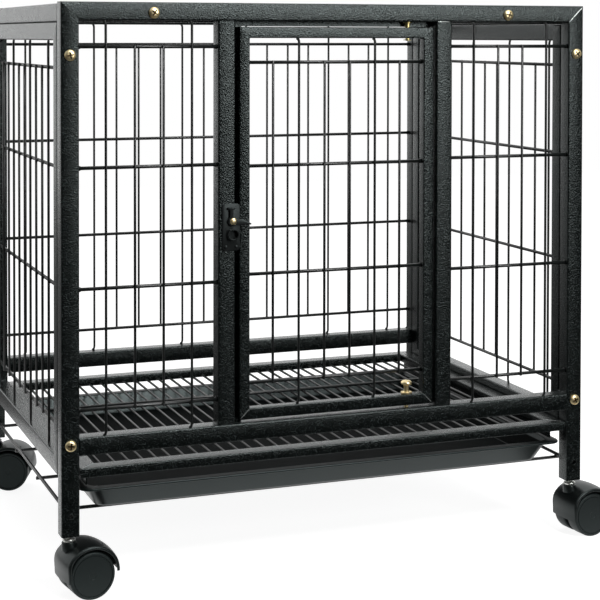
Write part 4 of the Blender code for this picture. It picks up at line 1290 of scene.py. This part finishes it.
@dataclass(frozen=True)
class PanHeadScrew:
    """Brass plated pan head screw with a cross recess."""

    head: float = 0.0060
    rise: float = 0.0034
    shank: float = 0.0025
    depth: float = 0.0200
    slot_width: float = 0.0018
    slot_reach: float = 0.0038
    slot_depth: float = 0.0022
    slot_floor: Triple = (0.62, 0.7, 1.0)

    def build(self) -> Form:
        """Turn the head and the shank, and cut the cross.

        Returns:
            The screw, with the cross's faces in its second material, a dark brown that paints the recess's
            shade.
        """
        rise, reach, half = self.rise, self.slot_reach, self.slot_width / 2
        dome = ((0, 1), (0.22, 0.998), (0.42, 0.98), (0.60, 0.93), (0.76, 0.84), (0.88, 0.70), (0.955, 0.53),
                (0.99, 0.34), (1, 0.22), (1, 0.07), (0.985, 0))
        profile = shares(dome, self.head, rise)
        form = Form.turned([*profile, (self.shank, 0.0), (self.shank, -self.depth), (0.0, -self.depth)], 48)
        for degrees in (0.0, 90.0):
            slot = Form().block((-reach, -half, rise - self.slot_depth), (reach, half, rise + GAP))
            floor = [vert for vert in slot.bm.verts if vert.co.z < rise]
            bmesh.ops.scale(slot.bm, vec=self.slot_floor, verts=floor)
            form.combine(slot, turn(degrees))
        for face in form.bm.faces:
            middle = face.calc_center_median()
            face.material_index = int(middle.xy.length < reach and 0.2 * rise < middle.z < 0.9 * rise)
        return form

    def dress(self) -> None:
        """Publish the twelve screws, each stopped at its own turn."""
        shape = self.build()
        turns = {"upper_left": 12.0, "upper_right": 38.0, "lower_left": -6.0, "lower_right": 24.0,
                 "top_left": 55.0, "top_right": -18.0}
        for (end, toward), (spot, degrees) in product((("front", 1.0), ("back", -1.0)), turns.items()):
            node = f"screw_{end}_{spot}"
            low, high = node_box(node)
            seat = low.y + self.rise if toward > 0 else high.y - self.rise
            middle = node_middle(node)
            place = facing(middle.x, seat, middle.z, toward) @ turn(degrees * toward)
            obj = stand_in(shape, node, "head", "cage", BRIGHT_BRASS, SCREW_CREASE, place)
            # The second material paints shade into the cross recess.
            obj.data.materials.append(RECESS_SHADE_BRASS.material())


@dataclass(frozen=True)
class HingePins:
    """The two pivot pins of the door. The lower one has a knob and lifts out."""

    shank: float = 0.0023
    collar: float = 0.0050
    washer: float = 0.0010
    flange: float = 0.00625
    flange_height: float = 0.0018
    neck: float = 0.0030
    neck_height: float = 0.0082
    knob: float = 0.00625
    knob_height: float = 0.0048
    rail_depth: float = 0.0120

    def upper(self) -> Form:
        """Turn the fixed pin, with a washer under the top rail and one under the door's tube.

        Returns:
            The pin about its axis.
        """
        low, high = node_box("upper_hinge_pin")
        collar, washer, shank, neck = self.collar, self.washer, self.shank, self.neck
        rail = high.z - self.rail_depth - GAP
        seat = node_box("door_frame")[1].z + GAP
        foot = min(low.z + 0.0006, seat - DOOR_TUBE.width - washer - 2 * GAP)
        return Form.turned([
            (0.0, high.z), (shank, high.z), (shank, rail), (collar * 0.94, rail), (collar, rail - 0.0003),
            (collar, rail - washer + 0.0003), (collar * 0.94, rail - washer), (neck, rail - washer),
            (neck, seat), (shank, seat), (shank, foot + washer), (collar * 0.86, foot + washer),
            (collar * 0.92, foot + washer - 0.0003), (collar * 0.92, foot + 0.0003), (collar * 0.86, foot),
            (shank, foot), (shank * 0.8, foot - 0.0002), (shank * 0.6, low.z), (0.0, low.z),
        ], 32)

    def lower(self) -> Form:
        """Turn the pin with a flange, a neck and a mushroom knob.

        Returns:
            The pin about its axis.
        """
        low, high = node_box("lower_hinge_pin")
        foot = high.z - self.knob_height
        neck_low = foot - self.neck_height
        seat = neck_low - self.flange_height
        shank, neck, flange, knob = self.shank, self.neck, self.flange, self.knob
        cap = ((0, 0), (0.30, 0.00008), (0.55, 0.00035), (0.76, 0.00085), (0.91, 0.0016), (0.985, 0.0025),
               (1, 0.0032), (0.985, 0.0039), (0.93, 0.0044))
        return Form.turned([
            *shares(cap, knob, -1.0, high.z), (knob * 0.84, foot), (neck + 0.0005, foot),
            (neck, foot - 0.0005), (neck * 0.96, (foot + neck_low) / 2),
            (neck, neck_low + 0.0006), (neck + 0.0006, neck_low),
            (flange * 0.93, neck_low), (flange, neck_low - 0.0004), (flange, seat + 0.0003),
            (flange * 0.96, seat), (shank, seat), (shank, low.z + 0.0010), (shank * 0.6, low.z + 0.0001),
            (0.0, low.z),
        ], 40)

    def dress(self) -> None:
        """Publish both pins."""
        for node, body, form, finish in (
            ("upper_hinge_pin", "cage", self.upper(), YELLOW_ZINC),
            ("lower_hinge_pin", "hinge_pin", self.lower(), BRIGHT_BRASS),
        ):
            middle = node_middle(node)
            stand_in(form, node, "turned", body, finish, TURNED_CREASE, shift(middle.x, middle.y))


@dataclass(frozen=True)
class Latch:
    """Latch on the left stile: a riveted plate, a pivot pin, a hook lever and a coil spring."""

    plate_rise: float = 0.0185
    plate_right: float = 0.0084
    plate_width: float = 0.0196
    plate_height: float = 0.0500
    plate_thick: float = 0.0012
    plate_corner: float = 0.0035
    rivet: float = 0.0022
    rivet_rise: float = 0.0011
    rivet_inset: float = 0.0040
    hook_thick: float = 0.0030
    boss: float = 0.0054
    reach: float = 0.0203
    arm_low: float = 0.0042
    arm_high: float = 0.0022
    tip_height: float = 0.0016
    beak: float = 0.0090
    lever_width: float = 0.0036
    lever_height: float = 0.0150
    pad_width: float = 0.0082
    pad_height: float = 0.0026
    pin: float = 0.0025
    pin_head: float = 0.0037
    pin_head_rise: float = 0.0016
    pin_depth: float = 0.0070
    wire: float = 0.00065
    coil: float = 0.0054
    coil_steps: int = 24
    pitch: float = 0.0019
    turns: float = 2.25
    drop: float = 0.0142
    leg: float = 0.0050

    def plate(self) -> Form:
        """Cut the plate and set its domed rivets.

        Returns:
            The plate, lying flat about the pivot.
        """
        left, low = self.plate_right - self.plate_width, self.plate_rise - self.plate_height
        half, rivet = self.plate_thick / 2, self.rivet
        form = Form().block((left, low, -half), (self.plate_right, self.plate_rise, half))
        form.round_edges(running(2), self.plate_corner, 6)
        form.round_edges(lambda edge: level(edge) and sharp(edge), RIM_ROUND, 2)
        dome = shares(((0, 1), (0.4, 0.95), (0.72, 0.74), (0.93, 0.4), (1, 0)), rivet, self.rivet_rise)
        stud = Form.turned([*dome, (rivet, -half), (0, -half)], 24)
        for x in (left + self.rivet_inset, self.plate_right - self.rivet_inset):
            form.add(stud, shift(x, low + self.rivet_inset, half))
        return form

    def hook(self) -> Form:
        """Cut the hook lever: a boss, an arm with a beak, and a finger lever with a pad.

        Returns:
            The lever, lying flat about the pivot.
        """
        boss, reach, top = self.boss, self.reach, self.lever_height
        low, high, tip = -self.arm_low, self.arm_high, self.tip_height - self.arm_low
        lever = -self.lever_width
        pad_low = top - self.pad_height
        left = lever - (self.pad_width - self.lever_width) / 2
        right = left + self.pad_width
        start = math.degrees(math.acos(lever / boss))
        end = 360.0 - math.degrees(math.asin(self.arm_low / boss))
        return Form.plate([
            *arc(boss, start, end, 24), (reach - 0.0006, low), (reach, low + 0.0004), (reach, tip - 0.0004),
            (reach - 0.0006, tip), (reach - self.beak, high), (math.sqrt(boss**2 - high**2), high),
            *arc(boss, math.degrees(math.asin(high / boss)) + 8.0, 88.0, 5), (0.0, pad_low - 0.0008),
            (0.0005, pad_low), (right - 0.0005, pad_low), (right, pad_low + 0.0005), (right, top - 0.0007),
            (right - 0.0007, top), (left + 0.0007, top), (left, top - 0.0007), (left, pad_low + 0.0005),
            (left + 0.0005, pad_low), (lever - 0.0004, pad_low), (lever, pad_low - 0.0008),
        ], self.hook_thick, 0.0004, 2)

    def pivot(self, seat: float) -> Form:
        """Turn the brass pin with a domed head.

        Args:
            seat: Height of the head's underside.

        Returns:
            The pin about its axis.
        """
        head, rise, pin, depth = self.pin_head, self.pin_head_rise, self.pin, self.pin_depth
        cap = ((0, 0), (0.35, 0.03), (0.62, 0.14), (0.84, 0.36), (0.97, 0.66))
        dome = shares(cap, head, -rise, seat + rise)
        return Form.turned([
            *dome, (head, seat + rise * 0.15), (head * 0.97, seat), (pin, seat), (pin, -depth), (0.0, -depth),
        ], 36)

    def spring(self, back: float) -> Form:
        """Wind the coil spring, with a straight leg at each end.

        Args:
            back: Where its first turn starts, from back to front.

        Returns:
            The spring.
        """
        points = []
        for index in range(round(self.turns * self.coil_steps) + 1):
            angle = 2 * math.pi * index / self.coil_steps
            ahead = back - self.pitch * index / self.coil_steps
            x, z = self.coil * math.cos(angle), self.coil * math.sin(angle) - self.drop
            points.append(Vector((x, ahead, z)))
        first, last = points[0] - Vector((0, 0, self.leg)), points[-1] - Vector((self.leg, 0, 0))
        return Form.swept([first, *points, last], [self.wire] * (len(points) + 2))

    def dress(self) -> None:
        """Publish the latch's four pieces, stacked on the stile."""
        pin = node_middle("latch_pin")
        x, z = pin.x, pin.z
        plate = -GAP - self.plate_thick
        hook = plate - GAP - self.hook_thick
        spring = self.spring(plate - GAP - self.wire)
        for form, node, ending, body, finish, hard_angle, place in (
            (self.plate(), "latch_plate", "riveted", "cage", LATCH_ENAMEL, TURNED_CREASE,
             facing(x, (plate - GAP) / 2, z)),
            (self.hook(), "latch_hook", "lever", "latch", LATCH_ENAMEL, TURNED_CREASE,
             facing(x, (plate - GAP + hook) / 2, z)),
            (self.pivot(GAP - hook), "latch_pin", "domed", "cage", BRIGHT_BRASS, TURNED_CREASE,
             facing(x, 0.0, z)),
            (spring, "latch_spring", "coil", "cage", LATCH_ENAMEL, WIRE_CREASE, shift(x, 0.0, z)),
        ):
            stand_in(form, node, ending, body, finish, hard_angle, place)


# floor grid and tray


@dataclass(frozen=True)
class FloorGrid:
    """The slide-out floor grid: its wires, and the ledges that it rests on."""

    tube: float = GRID_TUBE.width
    margin: float = 0.0119
    bars: int = 34
    crosses: int = 2
    drop: float = 0.0080
    flange: float = 0.0100
    flange_thick: float = 0.0015

    def ledge(self, side: str) -> None:
        """Publish a ledge: an angle iron whose thin flange hangs beside the tray's lip.

        Args:
            side: Left or right.
        """
        node, thick = f"grid_ledge_{side}", self.flange_thick
        low, high = node_box(node)
        left = high.x - thick if side == "left" else low.x
        wing = Form().block((left, low.y, low.z - self.flange), (left + thick, high.y, low.z + thick / 2))
        form = Form().block(low, high).combine(wing, operation="UNION")
        form.round_edges(sharp, RIM_ROUND, 2)
        stand_in(form, node, "angle", "cage", FRAME_COAT)

    def dress(self) -> None:
        """Publish the wires and the ledges."""
        low, high = node_box("floor_grid_frame")
        span, rise = (low.x + self.tube, high.x - self.tube), (low.y + self.tube, high.y - self.tube)
        bars = spaced(span[0] + self.margin, span[1] - self.margin, self.bars)
        crosses = spaced(*rise, self.crosses + 2)[1:-1]
        WirePanel("floor_grid_wires", "floor_grid", 2, high.z, -1, bars, crosses, span, rise, self.drop,
                  all_reach=True, crosses_over=True).dress()
        for side in ("left", "right"):
            self.ledge(side)


@dataclass(frozen=True)
class Tray:
    """Moulded plastic tray: drafted walls, round corners, and a flat lip."""

    lip: float = 0.0100
    wall: float = 0.0024
    draft: float = 0.0115
    corner: float = 0.0120
    corner_steps: int = 8
    floor_round: float = 0.0030
    edge: float = 0.0009
    edge_steps: int = 3
    edge_angle: float = 60.0

    def shell(self, width: float, depth: float, height: float) -> Form:
        """Shape the tray's outer skin.

        Args:
            width: Across the walls at their top.
            depth: From front to back there.
            height: Of the walls.

        Returns:
            The skin about the floor's middle, with its lip.
        """
        form = Form().block((-width / 2, -depth / 2, 0), (width / 2, depth / 2, height))
        bm = form.bm
        foot = [vert for vert in bm.verts if vert.co.z < height / 2]
        bmesh.ops.scale(bm, vec=(1 - 2 * self.draft / width, 1 - 2 * self.draft / depth, 1.0), verts=foot)
        form.round_edges(running(2, height / 2), self.corner, self.corner_steps)
        form.round_edges(lambda edge: all(vert.co.z < MERGE for vert in edge.verts), self.floor_round, 4)
        top = max(bm.faces, key=lambda face: face.calc_center_median().z)
        bmesh.ops.delete(bm, geom=[top], context="FACES_ONLY")
        made = bmesh.ops.extrude_edge_only(bm, edges=[edge for edge in bm.edges if edge.is_boundary])["geom"]
        spread = (1 + 2 * self.lip / width, 1 + 2 * self.lip / depth, 1.0)
        bmesh.ops.scale(bm, vec=spread, verts=of_kind(made, BMVert))
        bmesh.ops.recalc_face_normals(bm, faces=bm.faces)
        if min(bm.faces, key=lambda face: face.calc_center_median().z).normal.z > 0:
            bmesh.ops.reverse_faces(bm, faces=bm.faces)
        return form

    def dress(self) -> None:
        """Mould the tray, give it its wall and publish it."""
        low, high = node_box("tray")
        size, middle = high - low, node_middle("tray")
        form = self.shell(size.x - 2 * self.lip, size.y - 2 * self.lip, size.z - self.wall)
        place = shift(middle.x, middle.y, low.z)
        obj = stand_in(form, "tray", "moulded", "tray", TRAY_PLASTIC, TRAY_CREASE, place)
        shell = obj.modifiers.new("wall", "SOLIDIFY")
        shell.thickness = self.wall
        shell.offset = -1.0
        shell.use_even_offset = True
        edge = obj.modifiers.new("edge", "BEVEL")
        edge.width = self.edge
        edge.segments = self.edge_steps
        edge.limit_method = "ANGLE"
        edge.angle_limit = math.radians(self.edge_angle)


@dataclass(frozen=True)
class TrayRack:
    """Wire rack under the tray: two side wires between the legs, and runners welded under them."""

    wire: float = 0.0038
    end_inset: float = 0.0030
    overhang: float = 0.0030
    sink: float = 0.0003
    front_margin: float = 0.0398
    back_margin: float = 0.0304
    runners: int = 4
    sides: int = 14
    weld: Triple = (0.0026, 0.0026, 0.0012)

    @property
    def height(self) -> float:
        """Height of the side wires."""
        return node_box("tray_rack")[1].z - self.wire / 2

    def dress(self) -> None:
        """Weld the rack and publish it."""
        low, high = node_box("tray_rack")
        stock, form = WireStock(sides=self.sides), Form()
        over, under = self.height, self.height - self.wire + self.sink
        places = spaced(self.front_margin, high.y + self.end_inset - self.back_margin, self.runners)
        for x in (low.x + self.overhang, high.x - self.overhang):
            form.add(stock.run(Vector((x, low.y, over)), Vector((x, high.y, over)), self.wire))
            for y in places:
                form.add(Form.nugget((x, y, (over + under) / 2), self.weld))
        for y in places:
            form.add(stock.run(Vector((low.x, y, under)), Vector((high.x, y, under)), self.wire))
        stand_in(form, "tray_rack", "wires", "cage", BAR_COAT, WIRE_CREASE)


# casters


@dataclass(frozen=True)
class Caster:
    """A hooded twin-wheel caster about its swivel axis."""

    trail: float = 0.0185
    axle_height: float = 0.02462
    wheel: float = 0.0246
    inner_face: float = 0.0038
    outer_face: float = 0.0208
    bore: float = 0.00285
    bore_end: float = 0.0160
    hood_half: float = 0.0224
    hood_crown: float = 0.0330
    hood_rim: float = 0.0308
    hood_wall: float = 0.0018
    hood_lip: float = 0.0032
    hood_start: float = 4.0
    hood_end: float = 188.0
    pull_near: float = 0.15
    pull_far: float = 0.045
    pull_height: float = 0.0220
    web: float = 0.0060
    web_radius: float = 0.0090
    dimple: float = 0.0012
    dimple_tilt: float = 26.0
    dimple_place: float = 0.0105
    boss: float = 0.0075
    boss_bottom: float = 0.049168
    boss_top: float = 0.058047
    pin: float = 0.0035
    pin_play: float = 0.00035
    pin_end: float = 0.050268
    neck: float = 0.0031
    stud: float = 0.0050
    collar: float = 0.00675
    collar_height: float = 0.0032

    @property
    def axle(self) -> Matrix:
        """The axle's middle, seen from the swivel axis."""
        return shift(self.trail, 0, self.axle_height)

    def wheel_form(self) -> Form:
        """Turn one wheel about its axle.

        Returns:
            The wheel from the middle of its axle, with its outer face up.
        """
        rim, outer, inner, bore = self.wheel, self.outer_face, self.inner_face, self.bore
        return Form.turned([
            (0.0, outer - 0.0008), (0.0034, outer - 0.0008), (0.0038, outer - 0.0005),
            *insets(((0.0042, -0.0003), (0.0039, -0.0009), (0.0032, -0.0009), (0.0029, -0.0002), (0.0022, 0),
                     (0.0012, -0.00005), (0.0006, -0.0004), (0.0002, -0.0010), (0, -0.0018)), rim, outer),
            (rim, (outer + inner) / 2),
            *insets(((0, 0.0016), (0.0004, 0.0006), (0.0012, 0), (0.0040, 0), (0.0046, 0.0012)), rim, inner),
            (bore + 0.0040, inner + 0.0012), (bore + 0.0032, inner), (bore, inner), (bore, self.bore_end),
            (0.0, self.bore_end),
        ], 72)

    def crown(self, across: float) -> float:
        """The hood's outer radius at a place across it."""
        return self.hood_crown - (self.hood_crown - self.hood_rim) * (across / self.hood_half) ** 2

    def shell(self) -> Form:
        """Spin the crowned shell over both wheels, with rolled edges.

        Returns:
            The shell about the axle, which is its Z axis.
        """
        half, rim, lip = self.hood_half, self.hood_rim, self.hood_lip
        inside = self.outer_face + 0.0003
        roll = [
            *insets(((0, -0.0012), (0.0003, -0.0005), (0.0012, 0)), rim, half),
            *insets(((-0.0006, 0), (-0.0001, -0.0003), (0, -0.0007)), rim - lip, half),
            (rim - lip + 0.0001, inside),
        ]
        outer = [(self.crown(across), across) for across in spaced(-half + 0.0014, half - 0.0014, 15)]
        inner = [(self.crown(across) - self.hood_wall, across) for across in spaced(inside, -inside, 15)]
        mirrored = [(radius, -across) for radius, across in reversed(roll)]
        form = Form()
        section = (*mirrored, *outer, *roll, *inner)
        verts = [form.bm.verts.new((radius, 0.0, across)) for radius, across in section]
        edges = [form.bm.edges.new(pair) for pair in zip(verts, [*verts[1:], verts[0]])]
        spun = bmesh.ops.spin(form.bm, geom=[*verts, *edges], cent=(0, 0, 0), axis=(0, 0, 1), steps=48,
                              angle=math.radians(self.hood_end - self.hood_start))
        bmesh.ops.edgeloop_fill(form.bm, edges=edges)
        bmesh.ops.edgeloop_fill(form.bm, edges=of_kind(spun["geom_last"], BMEdge))
        return Form().add(form.tidy(), turn(self.hood_start))

    def pull_in(self, form: Form) -> Form:
        """Draw both ends of the hood in towards the wheels, more and more with their depth.

        Args:
            form: The shell, or the web inside it.

        Returns:
            The same form.
        """
        for vert in form.bm.verts:
            share = min(max(1 - vert.co.y / self.pull_height, 0.0), 1.0)
            pull = self.pull_near if vert.co.x < 0 else self.pull_far
            vert.co.x *= 1 - pull * share * share * (3 - 2 * share)
        return form

    def hood_form(self) -> Form:
        """Join the hood's shell, web and boss, and cut its bores.

        Returns:
            The hood about the swivel axis.
        """
        stand = self.axle @ turn(90.0, "X")
        boss, top = self.boss, self.boss_top
        form = Form().add(self.pull_in(self.shell()), stand)
        outline = arc(self.hood_crown - self.hood_wall / 2, self.hood_start + 1, self.hood_end - 1, 40)
        outline += arc(self.web_radius, self.hood_end + 40, self.hood_start + 320, 12)
        form.combine(self.pull_in(Form.plate(outline, self.web, 0.0004, 1)), stand, "UNION")
        flare = [(0.0, top), (boss * 0.88, top), (boss * 0.97, top - 0.0003), (boss, top - 0.0009),
                 (boss, self.boss_bottom), (0.0, self.boss_bottom)]
        form.combine(Form.turned(flare, 32), operation="UNION")
        place = self.dimple_place
        spot = self.axle @ turn(self.dimple_tilt, "Y") @ shift(0, -place, self.crown(place))
        form.drill(self.dimple, 0.001, -0.0006, spot, 16)
        form.drill(self.pin + self.pin_play, top + GAP, self.pin_end - GAP)
        return form.drill(self.bore, self.web, -self.web, stand)

    def stem_form(self, foot: float, top: float) -> Form:
        """Turn the zinc stem: a stud in the leg, a slim neck, a stepped collar, and the pin in the hood.

        Args:
            foot: Height of the leg's end.
            top: Height of the stud's top.

        Returns:
            The stem about the swivel axis.
        """
        low = self.boss_top + GAP
        high = low + self.collar_height
        collar, stud, neck = self.collar, self.stud, self.neck
        return Form.turned([
            (0.0, top), (stud * 0.9, top), (stud, top - 0.0006), (stud, foot + GAP), (neck, foot - GAP),
            (neck, high + 0.0009), (neck + 0.0007, high + 0.0002), (collar * 0.84, high),
            (collar * 0.95, high - 0.0004), (collar, high - 0.0010), (collar, low + 0.0014),
            (collar * 0.93, low + 0.0011), (collar * 0.92, low + 0.0003), (collar * 0.88, low),
            (self.pin, low), (self.pin, self.pin_end), (0.0, self.pin_end),
        ], 40)

    def dress(self, turns: dict[str, float]) -> None:
        """Publish the four casters.

        Args:
            turns: Each caster's corner and how far it is turned, in degrees.
        """
        hood, wheel = self.hood_form(), self.wheel_form()
        foot = node_box("front_frame")[0].z
        for corner, degrees in turns.items():
            name = f"caster_{corner}"
            stem = f"{name}_stem"
            middle = node_middle(stem)
            axis = shift(middle.x, middle.y)
            swivel = axis @ turn(degrees)
            form = self.stem_form(foot, node_box(stem)[1].z)
            stand_in(form, stem, "turned", "cage", BRIGHT_ZINC, TURNED_CREASE, axis)
            stand_in(hood, f"{name}_hood", "shell", name, HOOD_NYLON, CASTER_CREASE, swivel)
            dress_node(f"{name}_axle", BRIGHT_ZINC)
            for which, tilt in (("outer", 90.0), ("inner", -90.0)):
                node = f"{name}_{which}_wheel"
                place = swivel @ self.axle @ turn(tilt, "X")
                stand_in(wheel, node, "turned", node, WHEEL_NYLON, CASTER_CREASE, place)


# studio


@dataclass(frozen=True)
class Softbox:
    """A soft lamp that looks at a point."""

    name: str
    place: Triple
    target: Triple
    size: tuple[float, float]
    power: float

    def hang(self) -> None:
        """Hang the lamp."""
        lamp = bpy.data.lights.new(self.name, "AREA")
        lamp.shape = "RECTANGLE"
        lamp.size, lamp.size_y = self.size
        lamp.energy = self.power
        obj = bpy.data.objects.new(self.name, lamp)
        aim = (Vector(self.target) - Vector(self.place)).to_track_quat("-Z", "Y")
        obj.matrix_world = Matrix.Translation(self.place) @ aim.to_matrix().to_4x4()
        bpy.context.scene.collection.objects.link(obj)


@dataclass(frozen=True)
class Studio:
    """The floor, the light and the camera."""

    focal_pixels: float = 1571.9
    horizon_pixels: float = 72.3
    sensor: float = 36.0
    camera_place: Triple = (-0.3410, -1.5793, 0.5797)
    yaw: float = 20.84
    pitch: float = -1.334
    roll: float = 0.094
    bright_front: float = 0.07
    bright_side: float = 0.10
    bright_back: float = 0.15
    bright_fade: float = 0.25
    floor_reach: float = 4.0
    floor_paper: float = 0.42
    floor_glow: float = 0.90
    floor_far: float = 0.25
    floor_dark: float = 0.05
    sky: float = 0.75
    backdrop: float = 1.15
    ceiling: float = 0.9
    dark: float = 0.03
    lamps: tuple[Softbox, ...] = (
        Softbox("key", (0.35, -2.05, 2.05), (-0.2, 0.2, 0.1), (0.6, 0.6), 34.0),
        Softbox("front", (1.10, -2.7, 1.08), (0.0, 0.0, 0.8), (0.9, 1.0), 28.0),
        Softbox("overhead", (0.2, 0.6, 2.6), (0.0, 0.0, 0.2), (2.2, 2.2), 20.0),
    )

    def camera(self) -> None:
        """Stand the camera where the photograph was taken."""
        camera = bpy.data.cameras.new("camera")
        camera.sensor_width = self.sensor
        camera.lens = self.focal_pixels / PHOTO_PIXELS * self.sensor
        camera.shift_y = (self.horizon_pixels - PHOTO_PIXELS / 2) / PHOTO_PIXELS
        camera.clip_start, camera.clip_end = 0.05, 60.0
        yaw, pitch, roll = (math.radians(value) for value in (self.yaw, self.pitch, self.roll))
        ahead = Vector((math.sin(yaw) * math.cos(pitch), math.cos(yaw) * math.cos(pitch), math.sin(pitch)))
        level_right = Vector((math.cos(yaw), -math.sin(yaw), 0.0))
        upright = level_right.cross(ahead)
        right = level_right * math.cos(roll) + upright * math.sin(roll)
        up = upright * math.cos(roll) - level_right * math.sin(roll)
        obj = bpy.data.objects.new("camera", camera)
        look = Matrix((right, up, -ahead)).transposed().to_4x4()
        obj.matrix_world = Matrix.Translation(Vector(self.camera_place) + ORIGIN) @ look
        bpy.context.scene.collection.objects.link(obj)
        bpy.context.scene.camera = obj

    def floor(self) -> None:
        """Lay a plain pale floor that keeps the cage's shadow."""
        bm = bmesh.new()
        bmesh.ops.create_grid(bm, x_segments=1, y_segments=1, size=self.floor_reach)
        mesh = bpy.data.meshes.new("floor")
        bm.to_mesh(mesh)
        bm.free()
        material = bpy.data.materials.new("studio_floor")
        material.use_nodes = True
        bench = Bench(material.node_tree)
        seen = bench.ray("Is Camera Ray").larger(bench.ray("Is Glossy Ray") * self.bright_patch(bench))
        paper = bench.out("ShaderNodeBsdfDiffuse", {}, {"Color": grey(self.floor_paper)})
        glow = bench.out("ShaderNodeEmission", {}, {"Color": grey(1.0), "Strength": seen * self.floor_glow})
        lit = bench.out("ShaderNodeAddShader", {}, {0: paper, 1: glow})
        dark = bench.out("ShaderNodeBsdfDiffuse", {}, {"Color": grey(self.floor_dark)})
        bench.finish(bench.mixed(seen, dark, lit))
        mesh.materials.append(material)
        obj = bpy.data.objects.new("floor", mesh)
        bpy.context.scene.collection.objects.link(obj)

    def bright_patch(self, bench: Bench) -> Signal:
        """How bright the floor is in reflections.

        Args:
            bench: The floor's node tree.

        Returns:
            White under and close beside the cage, and dark before it.
        """
        place = bench.place()
        x, y = bench.part(place, "X"), bench.part(place, "Y")
        front, fade = ORIGIN.y - self.bright_front, self.bright_fade
        side, back = self.bright_side - ORIGIN.x, self.bright_back - ORIGIN.y
        beside = x.between(-side - fade, -side) * (1.0 - x.between(side, side + fade))
        near = beside * (1.0 - y.between(back, back + fade))
        return y.between(front - 0.02, front + 0.02) * (near * (1.0 - self.floor_far) + self.floor_far)

    def world(self) -> None:
        """White surroundings, darker low down in front of the cage, as in a studio with one white corner."""
        world = bpy.data.worlds.new("studio")
        world.use_nodes = True
        bpy.context.scene.world = world
        bench = Bench(world.node_tree)
        way = bench.out("ShaderNodeTexCoord", output="Generated")
        depth, height = bench.part(way, "Y"), bench.part(way, "Z")
        behind = depth.between(-0.15, 0.35) * self.backdrop
        above = height.between(0.15, 0.75) * (depth.between(-0.7, 0.0) * 0.8 + 0.2) * self.ceiling
        glossy = bench.ray("Is Glossy Ray") * (1.0 - self.sky / 2) + self.sky / 2
        strength = (behind.larger(above) + self.dark) * glossy
        around = bench.out("ShaderNodeBackground", {}, {"Color": grey(1.0), "Strength": strength})
        plain = bench.out("ShaderNodeBackground", {}, {"Color": grey(1.0), "Strength": 1.0})
        bench.finish(bench.mixed(bench.ray("Is Camera Ray"), around, plain), "ShaderNodeOutputWorld")

    def build(self) -> None:
        """Set up the whole studio."""
        bpy.context.scene.view_settings.view_transform = "Standard"
        self.camera()
        self.floor()
        self.world()
        for lamp in self.lamps:
            lamp.hang()


# the cage


@dataclass(frozen=True)
class DogCage:
    """The whole cage, built sub-assembly by sub-assembly."""

    doorway: float = 0.2357

    def frames(self, rack: TrayRack) -> None:
        """Build the welded frames, their wire panels, the door's and the floor grid's.

        Args:
            rack: The tray rack, whose wires end in the legs.
        """
        front = EndFrame("front_frame", self.doorway)
        front.dress(rack.height)
        DoorStop().dress(front)
        EndFrame("back_frame").dress(rack.height)
        for panel in (*Panels().front_and_back(front), *Panels().sides_and_top(), Panels().door()):
            panel.dress()
        for node, body, tube, plane in (
            ("left_frame", "cage", POST_TUBE, (1, 2)),
            ("right_frame", "cage", POST_TUBE, (1, 2)),
            ("top_frame", "cage", POST_TUBE, (0, 1)),
            ("door_frame", "door", DOOR_TUBE, (0, 2)),
            ("floor_grid_frame", "floor_grid", GRID_TUBE, (0, 1)),
        ):
            RingFrame(node, body, tube, plane).dress()

    def build(self) -> None:
        """Build every sub-assembly in order."""
        rack = TrayRack()
        self.frames(rack)
        # Weld lines whose pale colour is a painted highlight.
        WeldHighlightLines(self.doorway).dress()
        PanHeadScrew().dress()
        HingePins().dress()
        Latch().dress()
        FloorGrid().dress()
        Tray().dress()
        rack.dress()
        Caster().dress({"front_left": 8.0, "front_right": 6.0, "rear_left": -20.0, "rear_right": 20.0})


def main() -> None:
    """Build the studio and the cage."""
    logging.basicConfig(level=logging.INFO, format="%(name)s: %(message)s")
    Studio().build()
    DogCage().build()


if __name__ == "__main__":
    main()
